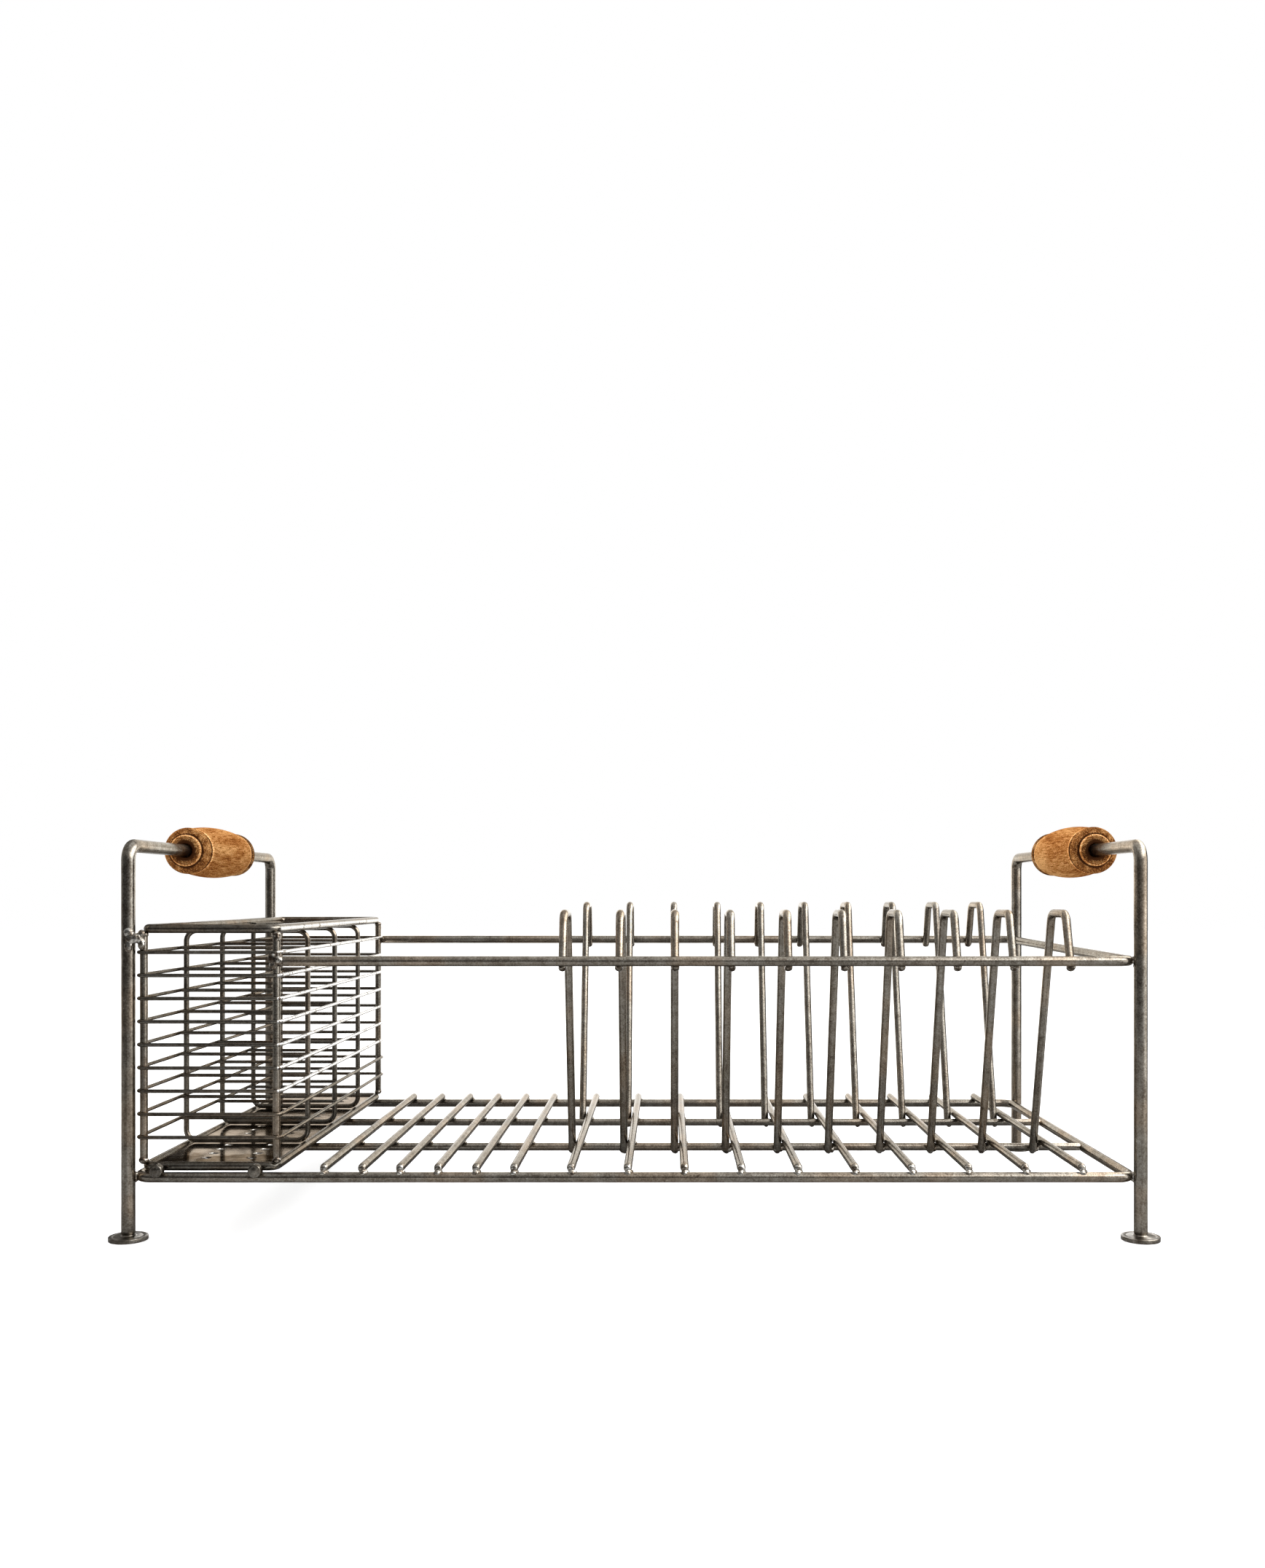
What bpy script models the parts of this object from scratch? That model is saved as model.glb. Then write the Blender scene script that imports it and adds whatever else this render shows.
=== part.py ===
"""A dish drainer welded from round steel rod, with a wire cutlery basket and two turned wooden grips.

Metres, +Z up. The origin is on the ground under the middle of the drainer. +X runs to the right as the
drainer is seen from the front, and the front is at -Y. Pieces that are welded together keep a weld gap.
"""

import math

import bmesh
import bpy
from mathutils import Vector

MM = 0.001
FRONT, BACK = -1, 1
LEFT, RIGHT = -1, 1
SIDE_NAMES = {LEFT: "left", RIGHT: "right"}
END_NAMES = {FRONT: "front", BACK: "back"}

# End hoops: one bent rod at each end, which is two legs and the handle rod between them
LEG_SPACING_X = 532 * MM
LEG_SPACING_Y = 250 * MM
HOOP_ROD = 7 * MM
HOOP_BEND = 8 * MM
HANDLE_HEIGHT = 207.3 * MM
HAND_GAP = 43.9 * MM
WELD_GAP = 0.3 * MM

# Feet: a flat round disc under each leg
FOOT_DIAMETER = 20 * MM
FOOT_THICKNESS = 2.3 * MM
FOOT_EDGE = 0.7 * MM

# Base: a ring of rod, two bars along it, and cross bars on top
BASE_HEIGHT = 32.9 * MM
BASE_ROD = 5.4 * MM
FRAME_BEND = 8 * MM
BASE_BAR_ROD = 4.5 * MM
BASE_BAR_SPACING = 84.6 * MM
CROSS_BAR_ROD = 4.5 * MM
CUP_BAR_COUNT = 6
CUP_BAR_PITCH = 20 * MM
CUP_BAR_TO_BASKET = 25.4 * MM
PLATE_BAR_COUNT = 10
PLATE_BAR_TO_RING = 26.6 * MM

# Top rail: a rod round the front, the right end and the back, below the basket's mouth
RAIL_ROD = 5.3 * MM
RAIL_DROP = 17 * MM
RAIL_RISE = 3.2 * MM

# Plate dividers: bent rods between the top rail and the base bars
DIVIDER_ROD = 4.5 * MM
DIVIDER_BEND = 6 * MM
DIVIDER_RISE = 24.7 * MM
DIVIDER_TOP_WIDTH = 26 * MM
DIVIDER_TAIL = 2.3 * MM
DIVIDER_LEAN = math.radians(18)

# Cutlery basket: two rings, corner posts with thin rings round them, partitions and a punched plate
BASKET_WIDTH = 69.9 * MM
BASKET_SETBACK = 2 * MM
BASKET_RING_ROD = 4.7 * MM
BASKET_RING_BEND = 4 * MM
BASKET_RING_INSET = 0.8 * MM
CORNER_POST_ROD = 4 * MM
THIN_RING_ROD = 2 * MM
THIN_RING_BEND = 3 * MM
THIN_RING_COUNT = 9
THIN_RING_DROP = 12.3 * MM
THIN_RING_LIFT = 15.65 * MM
THIN_RING_BITE = 0.4 * MM
PARTITION_COUNT = 3
PARTITION_ROD = 3 * MM
PARTITION_BEND = 6 * MM
PLATE_THICKNESS = 1 * MM
PLATE_CORNER = 3 * MM
HOLE_DIAMETER = 5 * MM
HOLE_PITCH = 12.2 * MM
HOLE_COLUMN_SPACING = 24.4 * MM
HOLE_COLUMN_SHIFT = 3.4 * MM
HOLE_EDGE = 4 * MM
TIE_DIAMETER = 7.4 * MM
TIE_LENGTH = 4 * MM
TIE_DROP = 0.95 * MM
TIE_INSET = 9.2 * MM

# Grips: a turned wooden barrel with a collar and a nose at each end, loose on the handle rod
GRIP_LENGTH = 92 * MM
GRIP_PLAY = 1.4 * MM
BARREL_DIAMETER = 31 * MM
BARREL_END_DIAMETER = 27 * MM
GROOVE_DIAMETER = 23.4 * MM
GROOVE_WIDTH = 1.4 * MM
COLLAR_DIAMETER = 26.6 * MM
COLLAR_WIDTH = 5.6 * MM
NOSE_DIAMETER = 18.6 * MM
NOSE_LENGTH = 2 * MM
NOSE_EDGE = 0.6 * MM
GRIP_LEFT_Y = 3 * MM
GRIP_RIGHT_Y = -6 * MM

# Fineness of the round surfaces
HOOP_SIDES = 12
RING_SIDES = 12
BAR_SIDES = 8
BASKET_RING_SIDES = 8
THIN_RING_SIDES = 6
TURNED_STEPS = 16
FOOT_STEPS = 16
TIE_STEPS = 12
HOLE_STEPS = 8
LARGEST_ARC_STEP = math.radians(26)
THIN_ARC_STEP = math.radians(46)
MERGE_DISTANCE = 0.001 * MM

# Rounded rod ends: how far from the end, as a share of the rod, and how thick the rod is there
ROUND_END_SHARES = ((0.0, 0.62), (0.3, 1.0))

# Collar bead: shares of its width and of its height over the groove
COLLAR_BEAD_SHARES = ((0.0, 0.55), (0.3, 1.0), (0.7, 0.92), (1.0, 0.3))

# Barrel: shares of its half length at which its outline has a point
BARREL_SHARES = (1.0, 0.66, 0.33)

LEG_X = LEG_SPACING_X / 2
LEG_Y = LEG_SPACING_Y / 2


def touching(first_rod, second_rod):
    """The distance between the axes of two rods that are welded side by side."""
    return (first_rod + second_rod) / 2 + WELD_GAP


def nested_inset(rod, bend):
    """How far inside the legs a side of a ring runs, for its bent corners to touch the legs."""
    reach = bend + touching(HOOP_ROD, rod)
    return math.sqrt(reach**2 - bend**2) - bend


RING_X = LEG_X - nested_inset(BASE_ROD, FRAME_BEND)
RAIL_X = LEG_X - nested_inset(RAIL_ROD, FRAME_BEND)
FLOOR_TOP = BASE_HEIGHT + BASE_ROD / 2
BASE_BAR_HEIGHT = FLOOR_TOP - BASE_BAR_ROD / 2
BASE_BAR_Y = BASE_BAR_SPACING / 2
CROSS_BAR_HEIGHT = FLOOR_TOP + WELD_GAP + CROSS_BAR_ROD / 2

BASKET_TOP_HEIGHT = HANDLE_HEIGHT - HAND_GAP
RAIL_HEIGHT = BASKET_TOP_HEIGHT - RAIL_DROP
THIN_RING_OFFSET = (CORNER_POST_ROD + THIN_RING_ROD) / 2 - THIN_RING_BITE
BASKET_LEFT = -LEG_X + (HOOP_ROD + THIN_RING_ROD) / 2 + WELD_GAP + THIN_RING_OFFSET
BASKET_RIGHT = BASKET_LEFT + BASKET_WIDTH
BASKET_X = (BASKET_LEFT + BASKET_RIGHT) / 2
BASKET_Y = LEG_Y - BASKET_SETBACK
BASKET_BOTTOM_HEIGHT = FLOOR_TOP + WELD_GAP + BASKET_RING_ROD / 2
RING_HALF_X = BASKET_WIDTH / 2 - BASKET_RING_INSET
RING_HALF_Y = BASKET_Y - BASKET_RING_INSET
GRIP_BORE = HOOP_ROD + GRIP_PLAY


def arc_points(before, corner, after, bend, largest_step):
    """Points round one corner of a bent rod, from the end of one straight run to the start of the next."""
    into = (corner - before).normalized()
    out = (after - corner).normalized()
    turn = into.angle(out)
    setback = bend * math.tan(turn / 2)
    start = corner - into * setback
    inward = (out - into * into.dot(out)).normalized()
    centre = start + inward * bend
    steps = math.ceil(turn / largest_step)
    angles = [turn * step / steps for step in range(steps + 1)]
    return [centre + (into * math.sin(a) - inward * math.cos(a)) * bend for a in angles]


def bent_path(corners, bend, closed=False, largest_step=LARGEST_ARC_STEP):
    """The centre line of a rod that is bent at each corner."""
    corners = [Vector(corner) for corner in corners]
    last = len(corners) - 1
    path = []
    for index, corner in enumerate(corners):
        if not closed and index in (0, last):
            path.append(corner)
            continue
        following = corners[(index + 1) % len(corners)]
        path.extend(arc_points(corners[index - 1], corner, following, bend, largest_step))
    return path


def round_ends(path, rod):
    """The path with each end narrowed, as (place, thickness share) pairs."""
    shaped = [(place, 1.0) for place in path[1:-1]]
    for end, following in ((path[0], path[1]), (path[-1], path[-2])):
        along = (following - end).normalized()
        cap = [(end + along * rod * share, thickness) for share, thickness in ROUND_END_SHARES]
        shaped = shaped + cap[::-1] if end is path[-1] else cap + shaped
    return shaped


def rod_curve(name, path, rod, sides, closed=False, rounded=False):
    """A round rod along a path, as a curve with a bevel."""
    curve = bpy.data.curves.new(name, "CURVE")
    curve.dimensions = "3D"
    curve.bevel_depth = rod / 2
    curve.bevel_resolution = sides // 2 - 2
    curve.use_fill_caps = not closed
    shaped = round_ends(path, rod) if rounded else [(place, 1.0) for place in path]
    spline = curve.splines.new("POLY")
    spline.points.add(len(shaped) - 1)
    for point, (place, thickness) in zip(spline.points, shaped):
        point.co = (*place, 1)
        point.radius = thickness
    spline.use_cyclic_u = closed
    return curve


def rectangle(half_x, half_y, height=0):
    """The corners of a level rectangle round the origin."""
    return [
        (-half_x, -half_y, height),
        (half_x, -half_y, height),
        (half_x, half_y, height),
        (-half_x, half_y, height),
    ]


def turned(name, profile, steps, bored):
    """A mesh turned round Z from (radius, height) points. A bored one has a closed outline."""
    mesh = bpy.data.meshes.new(name)
    shape = bmesh.new()
    outline = [shape.verts.new((radius, 0, height)) for radius, height in profile]
    pairs = list(zip(outline, outline[1:]))
    if bored:
        pairs.append((outline[-1], outline[0]))
    edges = [shape.edges.new(pair) for pair in pairs]
    bmesh.ops.spin(
        shape,
        geom=outline + edges,
        cent=(0, 0, 0),
        axis=(0, 0, 1),
        angle=math.tau,
        steps=steps,
        use_merge=True,
    )
    bmesh.ops.remove_doubles(shape, verts=shape.verts, dist=MERGE_DISTANCE)
    bmesh.ops.recalc_face_normals(shape, faces=shape.faces)
    shape.to_mesh(mesh)
    shape.free()
    mesh.shade_smooth()
    mesh.set_sharp_from_angle(angle=LARGEST_ARC_STEP * 2)
    return mesh


def closed_mesh(curve):
    """A curve's tube as a mesh whose caps and sides share their edges."""
    holder = bpy.data.objects.new(curve.name, curve)
    bpy.context.scene.collection.objects.link(holder)
    graph = bpy.context.evaluated_depsgraph_get()
    mesh = bpy.data.meshes.new_from_object(holder.evaluated_get(graph))
    bpy.data.objects.remove(holder)
    shape = bmesh.new()
    shape.from_mesh(mesh)
    bmesh.ops.remove_doubles(shape, verts=shape.verts, dist=MERGE_DISTANCE)
    bmesh.ops.recalc_face_normals(shape, faces=shape.faces)
    shape.to_mesh(mesh)
    shape.free()
    return mesh


def plain_material(name, colour, metallic, roughness):
    material = bpy.data.materials.new(name)
    material.use_nodes = True
    surface = material.node_tree.nodes["Principled BSDF"]
    surface.inputs["Base Color"].default_value = (*colour, 1)
    surface.inputs["Metallic"].default_value = metallic
    surface.inputs["Roughness"].default_value = roughness
    return material


def raw_steel():
    """Bare drawn rod, dark and slightly brown."""
    return plain_material("raw_steel", (0.16, 0.15, 0.135), 1.0, 0.42)


def plate_steel():
    """Bare rolled sheet, a little duller than the rod."""
    return plain_material("plate_steel", (0.2, 0.19, 0.17), 1.0, 0.5)


def turned_wood():
    """Warm brown hardwood with a thin oil finish."""
    return plain_material("turned_wood", (0.45, 0.22, 0.085), 0.0, 0.5)


def put(name, data, material, parent, location=(0, 0, 0), rotation=(0, 0, 0)):
    """Links one piece into the scene at its place."""
    piece = bpy.data.objects.new(name, data)
    bpy.context.scene.collection.objects.link(piece)
    if not data.materials:
        data.materials.append(material)
    piece.parent = parent
    piece.location = location
    piece.rotation_euler = rotation
    return piece


def end_hoops(steel, parent):
    """Two legs and a handle rod bent from one rod, at each end."""
    bottom = FOOT_THICKNESS + WELD_GAP
    corners = [
        (0, -LEG_Y, bottom),
        (0, -LEG_Y, HANDLE_HEIGHT),
        (0, LEG_Y, HANDLE_HEIGHT),
        (0, LEG_Y, bottom),
    ]
    curve = rod_curve("end_hoop", bent_path(corners, HOOP_BEND), HOOP_ROD, HOOP_SIDES)
    for side, side_name in SIDE_NAMES.items():
        put(f"end_hoop_{side_name}", curve, steel, parent, (side * LEG_X, 0, 0))


def feet(steel, parent):
    """A flat disc with an eased upper edge under each leg."""
    radius = FOOT_DIAMETER / 2
    profile = [
        (0, 0),
        (radius, 0),
        (radius, FOOT_THICKNESS - FOOT_EDGE),
        (radius - FOOT_EDGE, FOOT_THICKNESS),
        (0, FOOT_THICKNESS),
    ]
    disc = turned("foot", profile, FOOT_STEPS, bored=False)
    for end, end_name in END_NAMES.items():
        for side, side_name in SIDE_NAMES.items():
            place = (side * LEG_X, end * LEG_Y, 0)
            put(f"foot_{end_name}_{side_name}", disc, steel, parent, place)


def base(steel, parent):
    """The ring between the legs and the two bars along it, level on top."""
    loop = bent_path(rectangle(RING_X, LEG_Y), FRAME_BEND, closed=True)
    ring = rod_curve("base_ring", loop, BASE_ROD, RING_SIDES, closed=True)
    put("base_ring", ring, steel, parent, (0, 0, BASE_HEIGHT))
    half = RING_X - touching(BASE_ROD, 0)
    straight = [Vector((-half, 0, 0)), Vector((half, 0, 0))]
    bar = rod_curve("base_bar", straight, BASE_BAR_ROD, BAR_SIDES)
    for end, end_name in END_NAMES.items():
        place = (0, end * BASE_BAR_Y, BASE_BAR_HEIGHT)
        put(f"base_bar_{end_name}", bar, steel, parent, place)


def cup_bar_places():
    first = BASKET_RIGHT + CUP_BAR_TO_BASKET
    return [first + CUP_BAR_PITCH * index for index in range(CUP_BAR_COUNT)]


def plate_bar_places():
    """The plate bars share out what the cup bars leave, up to the right end of the ring."""
    start = cup_bar_places()[-1]
    pitch = (RING_X - PLATE_BAR_TO_RING - start) / PLATE_BAR_COUNT
    return [start + pitch * (index + 1) for index in range(PLATE_BAR_COUNT)]


def cross_bars(steel, parent):
    """Bars from front to back, close together for cups and wider under the plates."""
    straight = [Vector((0, -LEG_Y, 0)), Vector((0, LEG_Y, 0))]
    bar = rod_curve("cross_bar", straight, CROSS_BAR_ROD, BAR_SIDES, rounded=True)
    for kind, places in (("cup_bar", cup_bar_places()), ("plate_bar", plate_bar_places())):
        for number, x in enumerate(places, start=1):
            put(f"{kind}_{number}", bar, steel, parent, (x, 0, CROSS_BAR_HEIGHT))


def top_rail(steel, parent):
    """Round the front, the right end and the back, from the basket's post to its thin ring."""
    front_start = BASKET_RIGHT + CORNER_POST_ROD / 2 + WELD_GAP
    back_end = BASKET_RIGHT + THIN_RING_OFFSET + THIN_RING_ROD / 2 + WELD_GAP
    corners = [
        (front_start, -LEG_Y, 0),
        (RAIL_X, -LEG_Y, 0),
        (RAIL_X, LEG_Y, RAIL_RISE),
        (back_end, LEG_Y, RAIL_RISE),
    ]
    rail = rod_curve("top_rail", bent_path(corners, FRAME_BEND), RAIL_ROD, RING_SIDES)
    put("top_rail", rail, steel, parent, (0, 0, RAIL_HEIGHT))


def tangent_point(outside, centre, radius):
    """Where a line from a point outside a circle touches it, on the side away from +Y."""
    to_centre = centre - outside
    swing = math.asin(radius / to_centre.length)
    turn = math.cos(swing), math.sin(swing)
    along = Vector((
        to_centre.x * turn[0] + to_centre.y * turn[1],
        to_centre.y * turn[0] - to_centre.x * turn[1],
    ))
    return outside + along * turn[0]


def divider_path(rail_height):
    """The front row's divider in its own plane: tail on the rail, bend, top, bend, leg to the base bar."""
    rail = Vector((-LEG_Y, rail_height))
    base_bar = Vector((-BASE_BAR_Y, BASE_BAR_HEIGHT))
    up = Vector((math.sin(DIVIDER_LEAN), math.cos(DIVIDER_LEAN)))
    beside_rail = rail + touching(RAIL_ROD, DIVIDER_ROD) * Vector((up.y, -up.x))
    tail = beside_rail - up * DIVIDER_TAIL
    top = rail_height + DIVIDER_RISE
    front_corner = beside_rail + up * ((top - beside_rail.y) / up.y)
    back_corner = front_corner + Vector((DIVIDER_TOP_WIDTH, 0))
    foot = tangent_point(back_corner, base_bar, touching(BASE_BAR_ROD, DIVIDER_ROD))
    corners = [(0, point.x, point.y) for point in (tail, front_corner, back_corner, foot)]
    return bent_path(corners, DIVIDER_BEND)


def dividers(steel, parent):
    """Two rows of bent rods that lean to one another, each beside a plate bar."""
    beside = touching(CROSS_BAR_ROD, DIVIDER_ROD)
    rows = ((FRONT, RAIL_HEIGHT), (BACK, RAIL_HEIGHT + RAIL_RISE))
    for end, rail_height in rows:
        path = [Vector((x, -end * y, z)) for x, y, z in divider_path(rail_height)]
        end_name = END_NAMES[end]
        bend = rod_curve(f"{end_name}_divider", path, DIVIDER_ROD, BAR_SIDES, rounded=True)
        for number, x in enumerate(plate_bar_places(), start=1):
            put(f"{end_name}_divider_{number}", bend, steel, parent, (x - beside, 0, 0))


def basket_rings(steel, parent):
    """The heavy rings at the basket's mouth and floor."""
    loop = bent_path(rectangle(RING_HALF_X, RING_HALF_Y), BASKET_RING_BEND, closed=True)
    ring = rod_curve("basket_ring", loop, BASKET_RING_ROD, BASKET_RING_SIDES, closed=True)
    put("basket_top_ring", ring, steel, parent, (BASKET_X, 0, BASKET_TOP_HEIGHT))
    put("basket_bottom_ring", ring, steel, parent, (BASKET_X, 0, BASKET_BOTTOM_HEIGHT))


def thin_ring_heights():
    """The thin rings share out the wall between the heavy rings, from the lowest up."""
    low = BASKET_BOTTOM_HEIGHT + THIN_RING_LIFT
    pitch = (BASKET_TOP_HEIGHT - THIN_RING_DROP - low) / (THIN_RING_COUNT - 1)
    return [low + pitch * index for index in range(THIN_RING_COUNT)]


def fused(name, parts, material, parent):
    """One solid joined from meshes that bite into one another, given as (mesh, place) pairs."""
    joined = bpy.data.collections.new(f"{name}_parts")
    joined.hide_render = True
    bpy.context.scene.collection.children.link(joined)
    (carrier, carrier_place), *added = parts
    piece = put(name, carrier, material, parent, carrier_place)
    for number, (mesh, place) in enumerate(added, start=1):
        helper = bpy.data.objects.new(f"{name}_part_{number}", mesh)
        joined.objects.link(helper)
        helper.parent = parent
        helper.location = place
        helper.hide_render = True
        helper.display_type = "WIRE"
    union = piece.modifiers.new("join the parts", "BOOLEAN")
    union.operation = "UNION"
    union.solver = "EXACT"
    union.operand_type = "COLLECTION"
    union.collection = joined


def basket_cage(steel, parent):
    """Four corner posts and the thin rings that are welded round them, joined into one cage."""
    clear = BASKET_RING_ROD / 2 + WELD_GAP
    low = Vector((0, 0, BASKET_BOTTOM_HEIGHT + clear))
    high = Vector((0, 0, BASKET_TOP_HEIGHT - clear))
    post = closed_mesh(rod_curve("corner_post", [low, high], CORNER_POST_ROD, BAR_SIDES))
    half_x = BASKET_WIDTH / 2 + THIN_RING_OFFSET
    half_y = BASKET_Y + THIN_RING_OFFSET
    loop = bent_path(rectangle(half_x, half_y), THIN_RING_BEND, True, THIN_ARC_STEP)
    ring = closed_mesh(
        rod_curve("thin_ring", loop, THIN_RING_ROD, THIN_RING_SIDES, closed=True)
    )
    middle = Vector((BASKET_X, 0, 0))
    corners = rectangle(BASKET_WIDTH / 2, BASKET_Y)
    parts = [(post, middle + Vector(corner)) for corner in corners]
    parts += [(ring, middle + Vector((0, 0, height))) for height in thin_ring_heights()]
    fused("basket_cage", parts, steel, parent)


def partition_height(ring_height, direction):
    """The axis of a partition's level wire, whose bent corners touch the side bars of a ring."""
    side = partition_half_width() - PARTITION_BEND
    reach = PARTITION_BEND + touching(PARTITION_ROD, BASKET_RING_ROD)
    drop = math.sqrt(reach**2 - (RING_HALF_X - side) ** 2)
    return ring_height + direction * (PARTITION_BEND - drop)


def partition_half_width():
    """The partitions' upright wires touch the thin rings from inside."""
    return BASKET_WIDTH / 2 + THIN_RING_OFFSET - touching(THIN_RING_ROD, PARTITION_ROD)


def partitions(steel, parent):
    """Closed loops of wire across the basket, each with thin wires welded across it, level with the rings."""
    low = partition_height(BASKET_BOTTOM_HEIGHT, -1)
    high = partition_height(BASKET_TOP_HEIGHT, 1)
    half = partition_half_width()
    corners = [(-half, 0, low), (half, 0, low), (half, 0, high), (-half, 0, high)]
    path = bent_path(corners, PARTITION_BEND, closed=True)
    loop = closed_mesh(rod_curve("partition", path, PARTITION_ROD, BAR_SIDES, closed=True))
    reach = BASKET_WIDTH / 2 + THIN_RING_OFFSET - touching(THIN_RING_ROD, 0)
    straight = [Vector((-reach, 0, 0)), Vector((reach, 0, 0))]
    wire = closed_mesh(rod_curve("cross_wire", straight, THIN_RING_ROD, THIN_RING_SIDES))
    before = (PARTITION_ROD + THIN_RING_ROD) / 2 - THIN_RING_BITE
    spacing = 2 * BASKET_Y / (PARTITION_COUNT + 1)
    for number in range(1, PARTITION_COUNT + 1):
        y = -BASKET_Y + spacing * number
        parts = [(loop, Vector((BASKET_X, y, 0)))]
        parts += [(wire, Vector((BASKET_X, y - before, height))) for height in thin_ring_heights()]
        fused(f"basket_partition_{number}", parts, steel, parent)


def add_outline(curve, points):
    """Adds a closed flat outline to a flat curve. One inside another cuts a hole."""
    spline = curve.splines.new("POLY")
    spline.points.add(len(points) - 1)
    for point, place in zip(spline.points, points):
        point.co = (place[0], place[1], 0, 1)
    spline.use_cyclic_u = True


def hole_places(half_y):
    """Centres of the punched holes, in two columns off the plate's middle."""
    rows = int(2 * (half_y - HOLE_EDGE) / HOLE_PITCH)
    first = -HOLE_PITCH * (rows - 1) / 2
    columns = [HOLE_COLUMN_SHIFT + side * HOLE_COLUMN_SPACING / 2 for side in SIDE_NAMES]
    return [(x, first + HOLE_PITCH * row) for x in columns for row in range(rows)]


def basket_plate(steel, parent):
    """A sheet with punched drain holes, let into the bottom ring under the partitions."""
    clear = BASKET_RING_ROD / 2 + WELD_GAP
    half_x = RING_HALF_X - clear
    half_y = RING_HALF_Y - clear
    plate = bpy.data.curves.new("basket_plate", "CURVE")
    plate.dimensions = "2D"
    plate.fill_mode = "BOTH"
    plate.extrude = PLATE_THICKNESS / 2
    add_outline(plate, bent_path(rectangle(half_x, half_y), PLATE_CORNER, closed=True))
    for x, y in hole_places(half_y):
        turns = [math.tau * (step + 0.5) / HOLE_STEPS for step in range(HOLE_STEPS)]
        radius = HOLE_DIAMETER / 2
        add_outline(plate, [(x + radius * math.cos(a), y + radius * math.sin(a)) for a in turns])
    under = PARTITION_ROD / 2 + WELD_GAP + PLATE_THICKNESS / 2
    height = partition_height(BASKET_BOTTOM_HEIGHT, -1) - under
    put("basket_plate", plate, steel, parent, (BASKET_X, 0, height))


def basket_ties(steel, parent):
    """Two slices of rod welded in front, across the joint of the basket and the base ring."""
    radius = TIE_DIAMETER / 2
    profile = [(0, 0), (radius, 0), (radius, TIE_LENGTH), (0, TIE_LENGTH)]
    slice_mesh = turned("basket_tie", profile, TIE_STEPS, bored=False)
    y = -LEG_Y - BASE_ROD / 2 - WELD_GAP
    across = BASKET_WIDTH / 2 - TIE_INSET
    for side, side_name in SIDE_NAMES.items():
        place = (BASKET_X + side * across, y, BASKET_BOTTOM_HEIGHT - TIE_DROP)
        turn = (math.pi / 2, 0, 0)
        put(f"basket_tie_{side_name}", slice_mesh, steel, parent, place, turn)


def grip_outline():
    """Half of the grip from its middle to one end, as (radius, height) points, and the bore's edge."""
    groove_start = GRIP_LENGTH / 2 - NOSE_LENGTH - COLLAR_WIDTH - GROOVE_WIDTH
    collar_start = groove_start + GROOVE_WIDTH
    collar_end = collar_start + COLLAR_WIDTH
    swell = (BARREL_DIAMETER - BARREL_END_DIAMETER) / 2
    barrel = [
        (BARREL_DIAMETER / 2 - swell * share**2, groove_start * share)
        for share in reversed(BARREL_SHARES)
    ]
    groove = [(GROOVE_DIAMETER / 2, groove_start), (GROOVE_DIAMETER / 2, collar_start)]
    rise = (COLLAR_DIAMETER - GROOVE_DIAMETER) / 2
    bead = [
        (GROOVE_DIAMETER / 2 + rise * height_share, collar_start + COLLAR_WIDTH * share)
        for share, height_share in COLLAR_BEAD_SHARES
    ]
    nose = [
        (NOSE_DIAMETER / 2, collar_end),
        (NOSE_DIAMETER / 2, collar_end + NOSE_LENGTH - NOSE_EDGE),
        (NOSE_DIAMETER / 2 - NOSE_EDGE, collar_end + NOSE_LENGTH),
    ]
    return barrel + groove + bead + nose + [(GRIP_BORE / 2, GRIP_LENGTH / 2)]


def grips(wood, parent):
    """Two turned grips. Each spins on its handle rod, and has its origin on the rod's axis."""
    half = grip_outline()
    middle = [(BARREL_DIAMETER / 2, 0)]
    other = [(radius, -height) for radius, height in reversed(half)]
    mesh = turned("grip", other + middle + half, TURNED_STEPS, bored=True)
    for side, y in ((LEFT, GRIP_LEFT_Y), (RIGHT, GRIP_RIGHT_Y)):
        place = (side * LEG_X, y, HANDLE_HEIGHT)
        put(f"grip_{SIDE_NAMES[side]}", mesh, wood, parent, place, (math.pi / 2, 0, 0))


def clear_scene():
    for thing in list(bpy.data.objects):
        bpy.data.objects.remove(thing, do_unlink=True)


def build():
    clear_scene()
    drainer = bpy.data.objects.new("drainer", None)
    bpy.context.scene.collection.objects.link(drainer)
    steel = raw_steel()
    end_hoops(steel, drainer)
    feet(steel, drainer)
    base(steel, drainer)
    cross_bars(steel, drainer)
    top_rail(steel, drainer)
    dividers(steel, drainer)
    basket_rings(steel, drainer)
    basket_cage(steel, drainer)
    partitions(steel, drainer)
    basket_plate(plate_steel(), drainer)
    basket_ties(steel, drainer)
    grips(turned_wood(), drainer)


build()
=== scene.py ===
import math
import random

import bmesh
import bpy
from mathutils import Matrix, Vector


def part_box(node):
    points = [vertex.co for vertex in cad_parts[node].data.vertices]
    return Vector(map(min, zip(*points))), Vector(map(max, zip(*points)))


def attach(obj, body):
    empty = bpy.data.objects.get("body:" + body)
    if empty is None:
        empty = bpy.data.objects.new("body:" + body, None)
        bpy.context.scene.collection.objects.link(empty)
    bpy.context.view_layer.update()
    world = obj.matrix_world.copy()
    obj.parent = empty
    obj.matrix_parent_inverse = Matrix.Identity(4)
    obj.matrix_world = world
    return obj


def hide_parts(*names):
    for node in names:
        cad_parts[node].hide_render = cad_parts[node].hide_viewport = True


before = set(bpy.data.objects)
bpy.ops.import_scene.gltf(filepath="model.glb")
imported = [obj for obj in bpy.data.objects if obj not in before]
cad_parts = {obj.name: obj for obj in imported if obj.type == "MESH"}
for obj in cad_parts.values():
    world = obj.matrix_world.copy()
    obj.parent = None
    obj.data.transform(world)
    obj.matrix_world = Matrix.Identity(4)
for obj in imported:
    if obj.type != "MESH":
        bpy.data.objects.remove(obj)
bpy.context.view_layer.update()
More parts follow.
